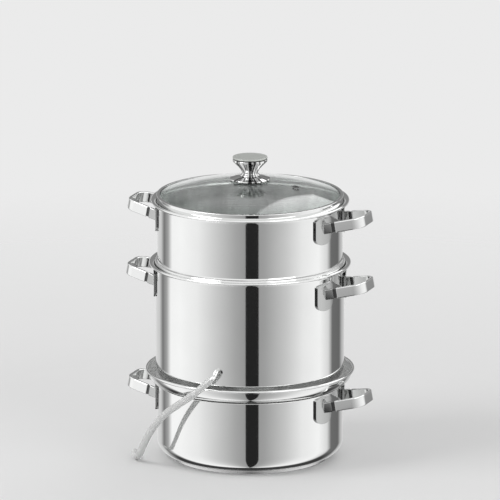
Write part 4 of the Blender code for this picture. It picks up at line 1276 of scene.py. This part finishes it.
def add_knob_body(foot, bore):
    """The chromed knob: flared foot, slim waist, wide bowl and a recess for the cap."""
    rim = foot + KNOB_HEIGHT
    waist = foot + KNOB_WAIST_HEIGHT
    bowl = rim - KNOB_RIM_HEIGHT - waist
    recess = rim - KNOB_RECESS_DEPTH
    outline = rounded([(0, foot + SCREW_DEPTH, 0), (bore, foot + SCREW_DEPTH, 0), (bore, foot, 0),
                       (KNOB_FOOT_RADIUS, foot, KNOB_FOOT_EDGE)])
    for step in range(1, KNOB_FLARE_STEPS + 1):
        flare = cos(pi / 2 * step / KNOB_FLARE_STEPS) ** 2
        outline.append(Vector((KNOB_WAIST_RADIUS + (KNOB_FOOT_RADIUS - KNOB_WAIST_RADIUS) * flare,
                               foot + KNOB_WAIST_HEIGHT * step / KNOB_FLARE_STEPS)))
    for step in range(1, KNOB_BOWL_STEPS + 1):
        swell = (1 - cos(pi / 2 * step / KNOB_BOWL_STEPS)) ** KNOB_BOWL_POWER
        outline.append(Vector((KNOB_WAIST_RADIUS + (KNOB_RIM_RADIUS - KNOB_WAIST_RADIUS) * swell,
                               waist + bowl * step / KNOB_BOWL_STEPS)))
    outline += rounded([(KNOB_RIM_RADIUS, waist + bowl, 0), (KNOB_RIM_RADIUS, rim, KNOB_RIM_EDGE),
                        (KNOB_RECESS_RADIUS, rim, KNOB_RECESS_EDGE), (KNOB_RECESS_RADIUS, recess, 0),
                        (0, recess, 0)])[1:]
    knob = turned("lid_knob", outline, KNOB_STEPS, closed=False)
    settle(knob, "lid", "knob_body", "knob_chrome", CHROME)


def add_cap(rim):
    """The cap in the knob's recess, with a dark gap under its edge: its plug is painted black rubber, as
    painted shade.
    """
    low = rim - KNOB_RECESS_DEPTH + FIT_GAP
    plug_radius = KNOB_RECESS_RADIUS - FIT_GAP
    under = rim + CAP_GROOVE
    top = under + CAP_THICKNESS
    outline = rounded([
        (0, low, 0), (plug_radius, low, 0), (plug_radius, under, 0), (KNOB_RIM_RADIUS, under, CAP_EDGE),
        (KNOB_RIM_RADIUS, top, CAP_TOP_EDGE),
        (KNOB_RIM_RADIUS * CAP_DOME_SHARE, top + CAP_EDGE * CAP_DOME_SHARE, CAP_DOME_CURVE),
        (0, top + CAP_EDGE, 0),
    ], CAP_ARC_STEP)
    cap = turned("knob_top_cap", outline, KNOB_STEPS, closed=False)
    settle(cap, "lid", "knob_cap", "cap_grey", CAP_GREY, RUBBER)
    # Painted shade: the plug under the cap's edge is black rubber, so the gap reads dark.
    paint(cap, 1, lambda centre, normal: centre.z < under and centre.xy.length < plug_radius + MERGE)


add_camera()
add_studio()
add_hose()
add_water_pot()
add_juice_pot()
add_basket()
add_handles("water_pot", WATER_RADIUS, WATER_RIM)
add_handles("juice_pot", JUICE_RADIUS, JUICE_RIM)
add_handles("basket", BASKET_RADIUS, BASKET_RIM)
add_glass()
add_band()
add_vent()
add_knob()

bpy.context.scene.view_settings.view_transform = "Standard"
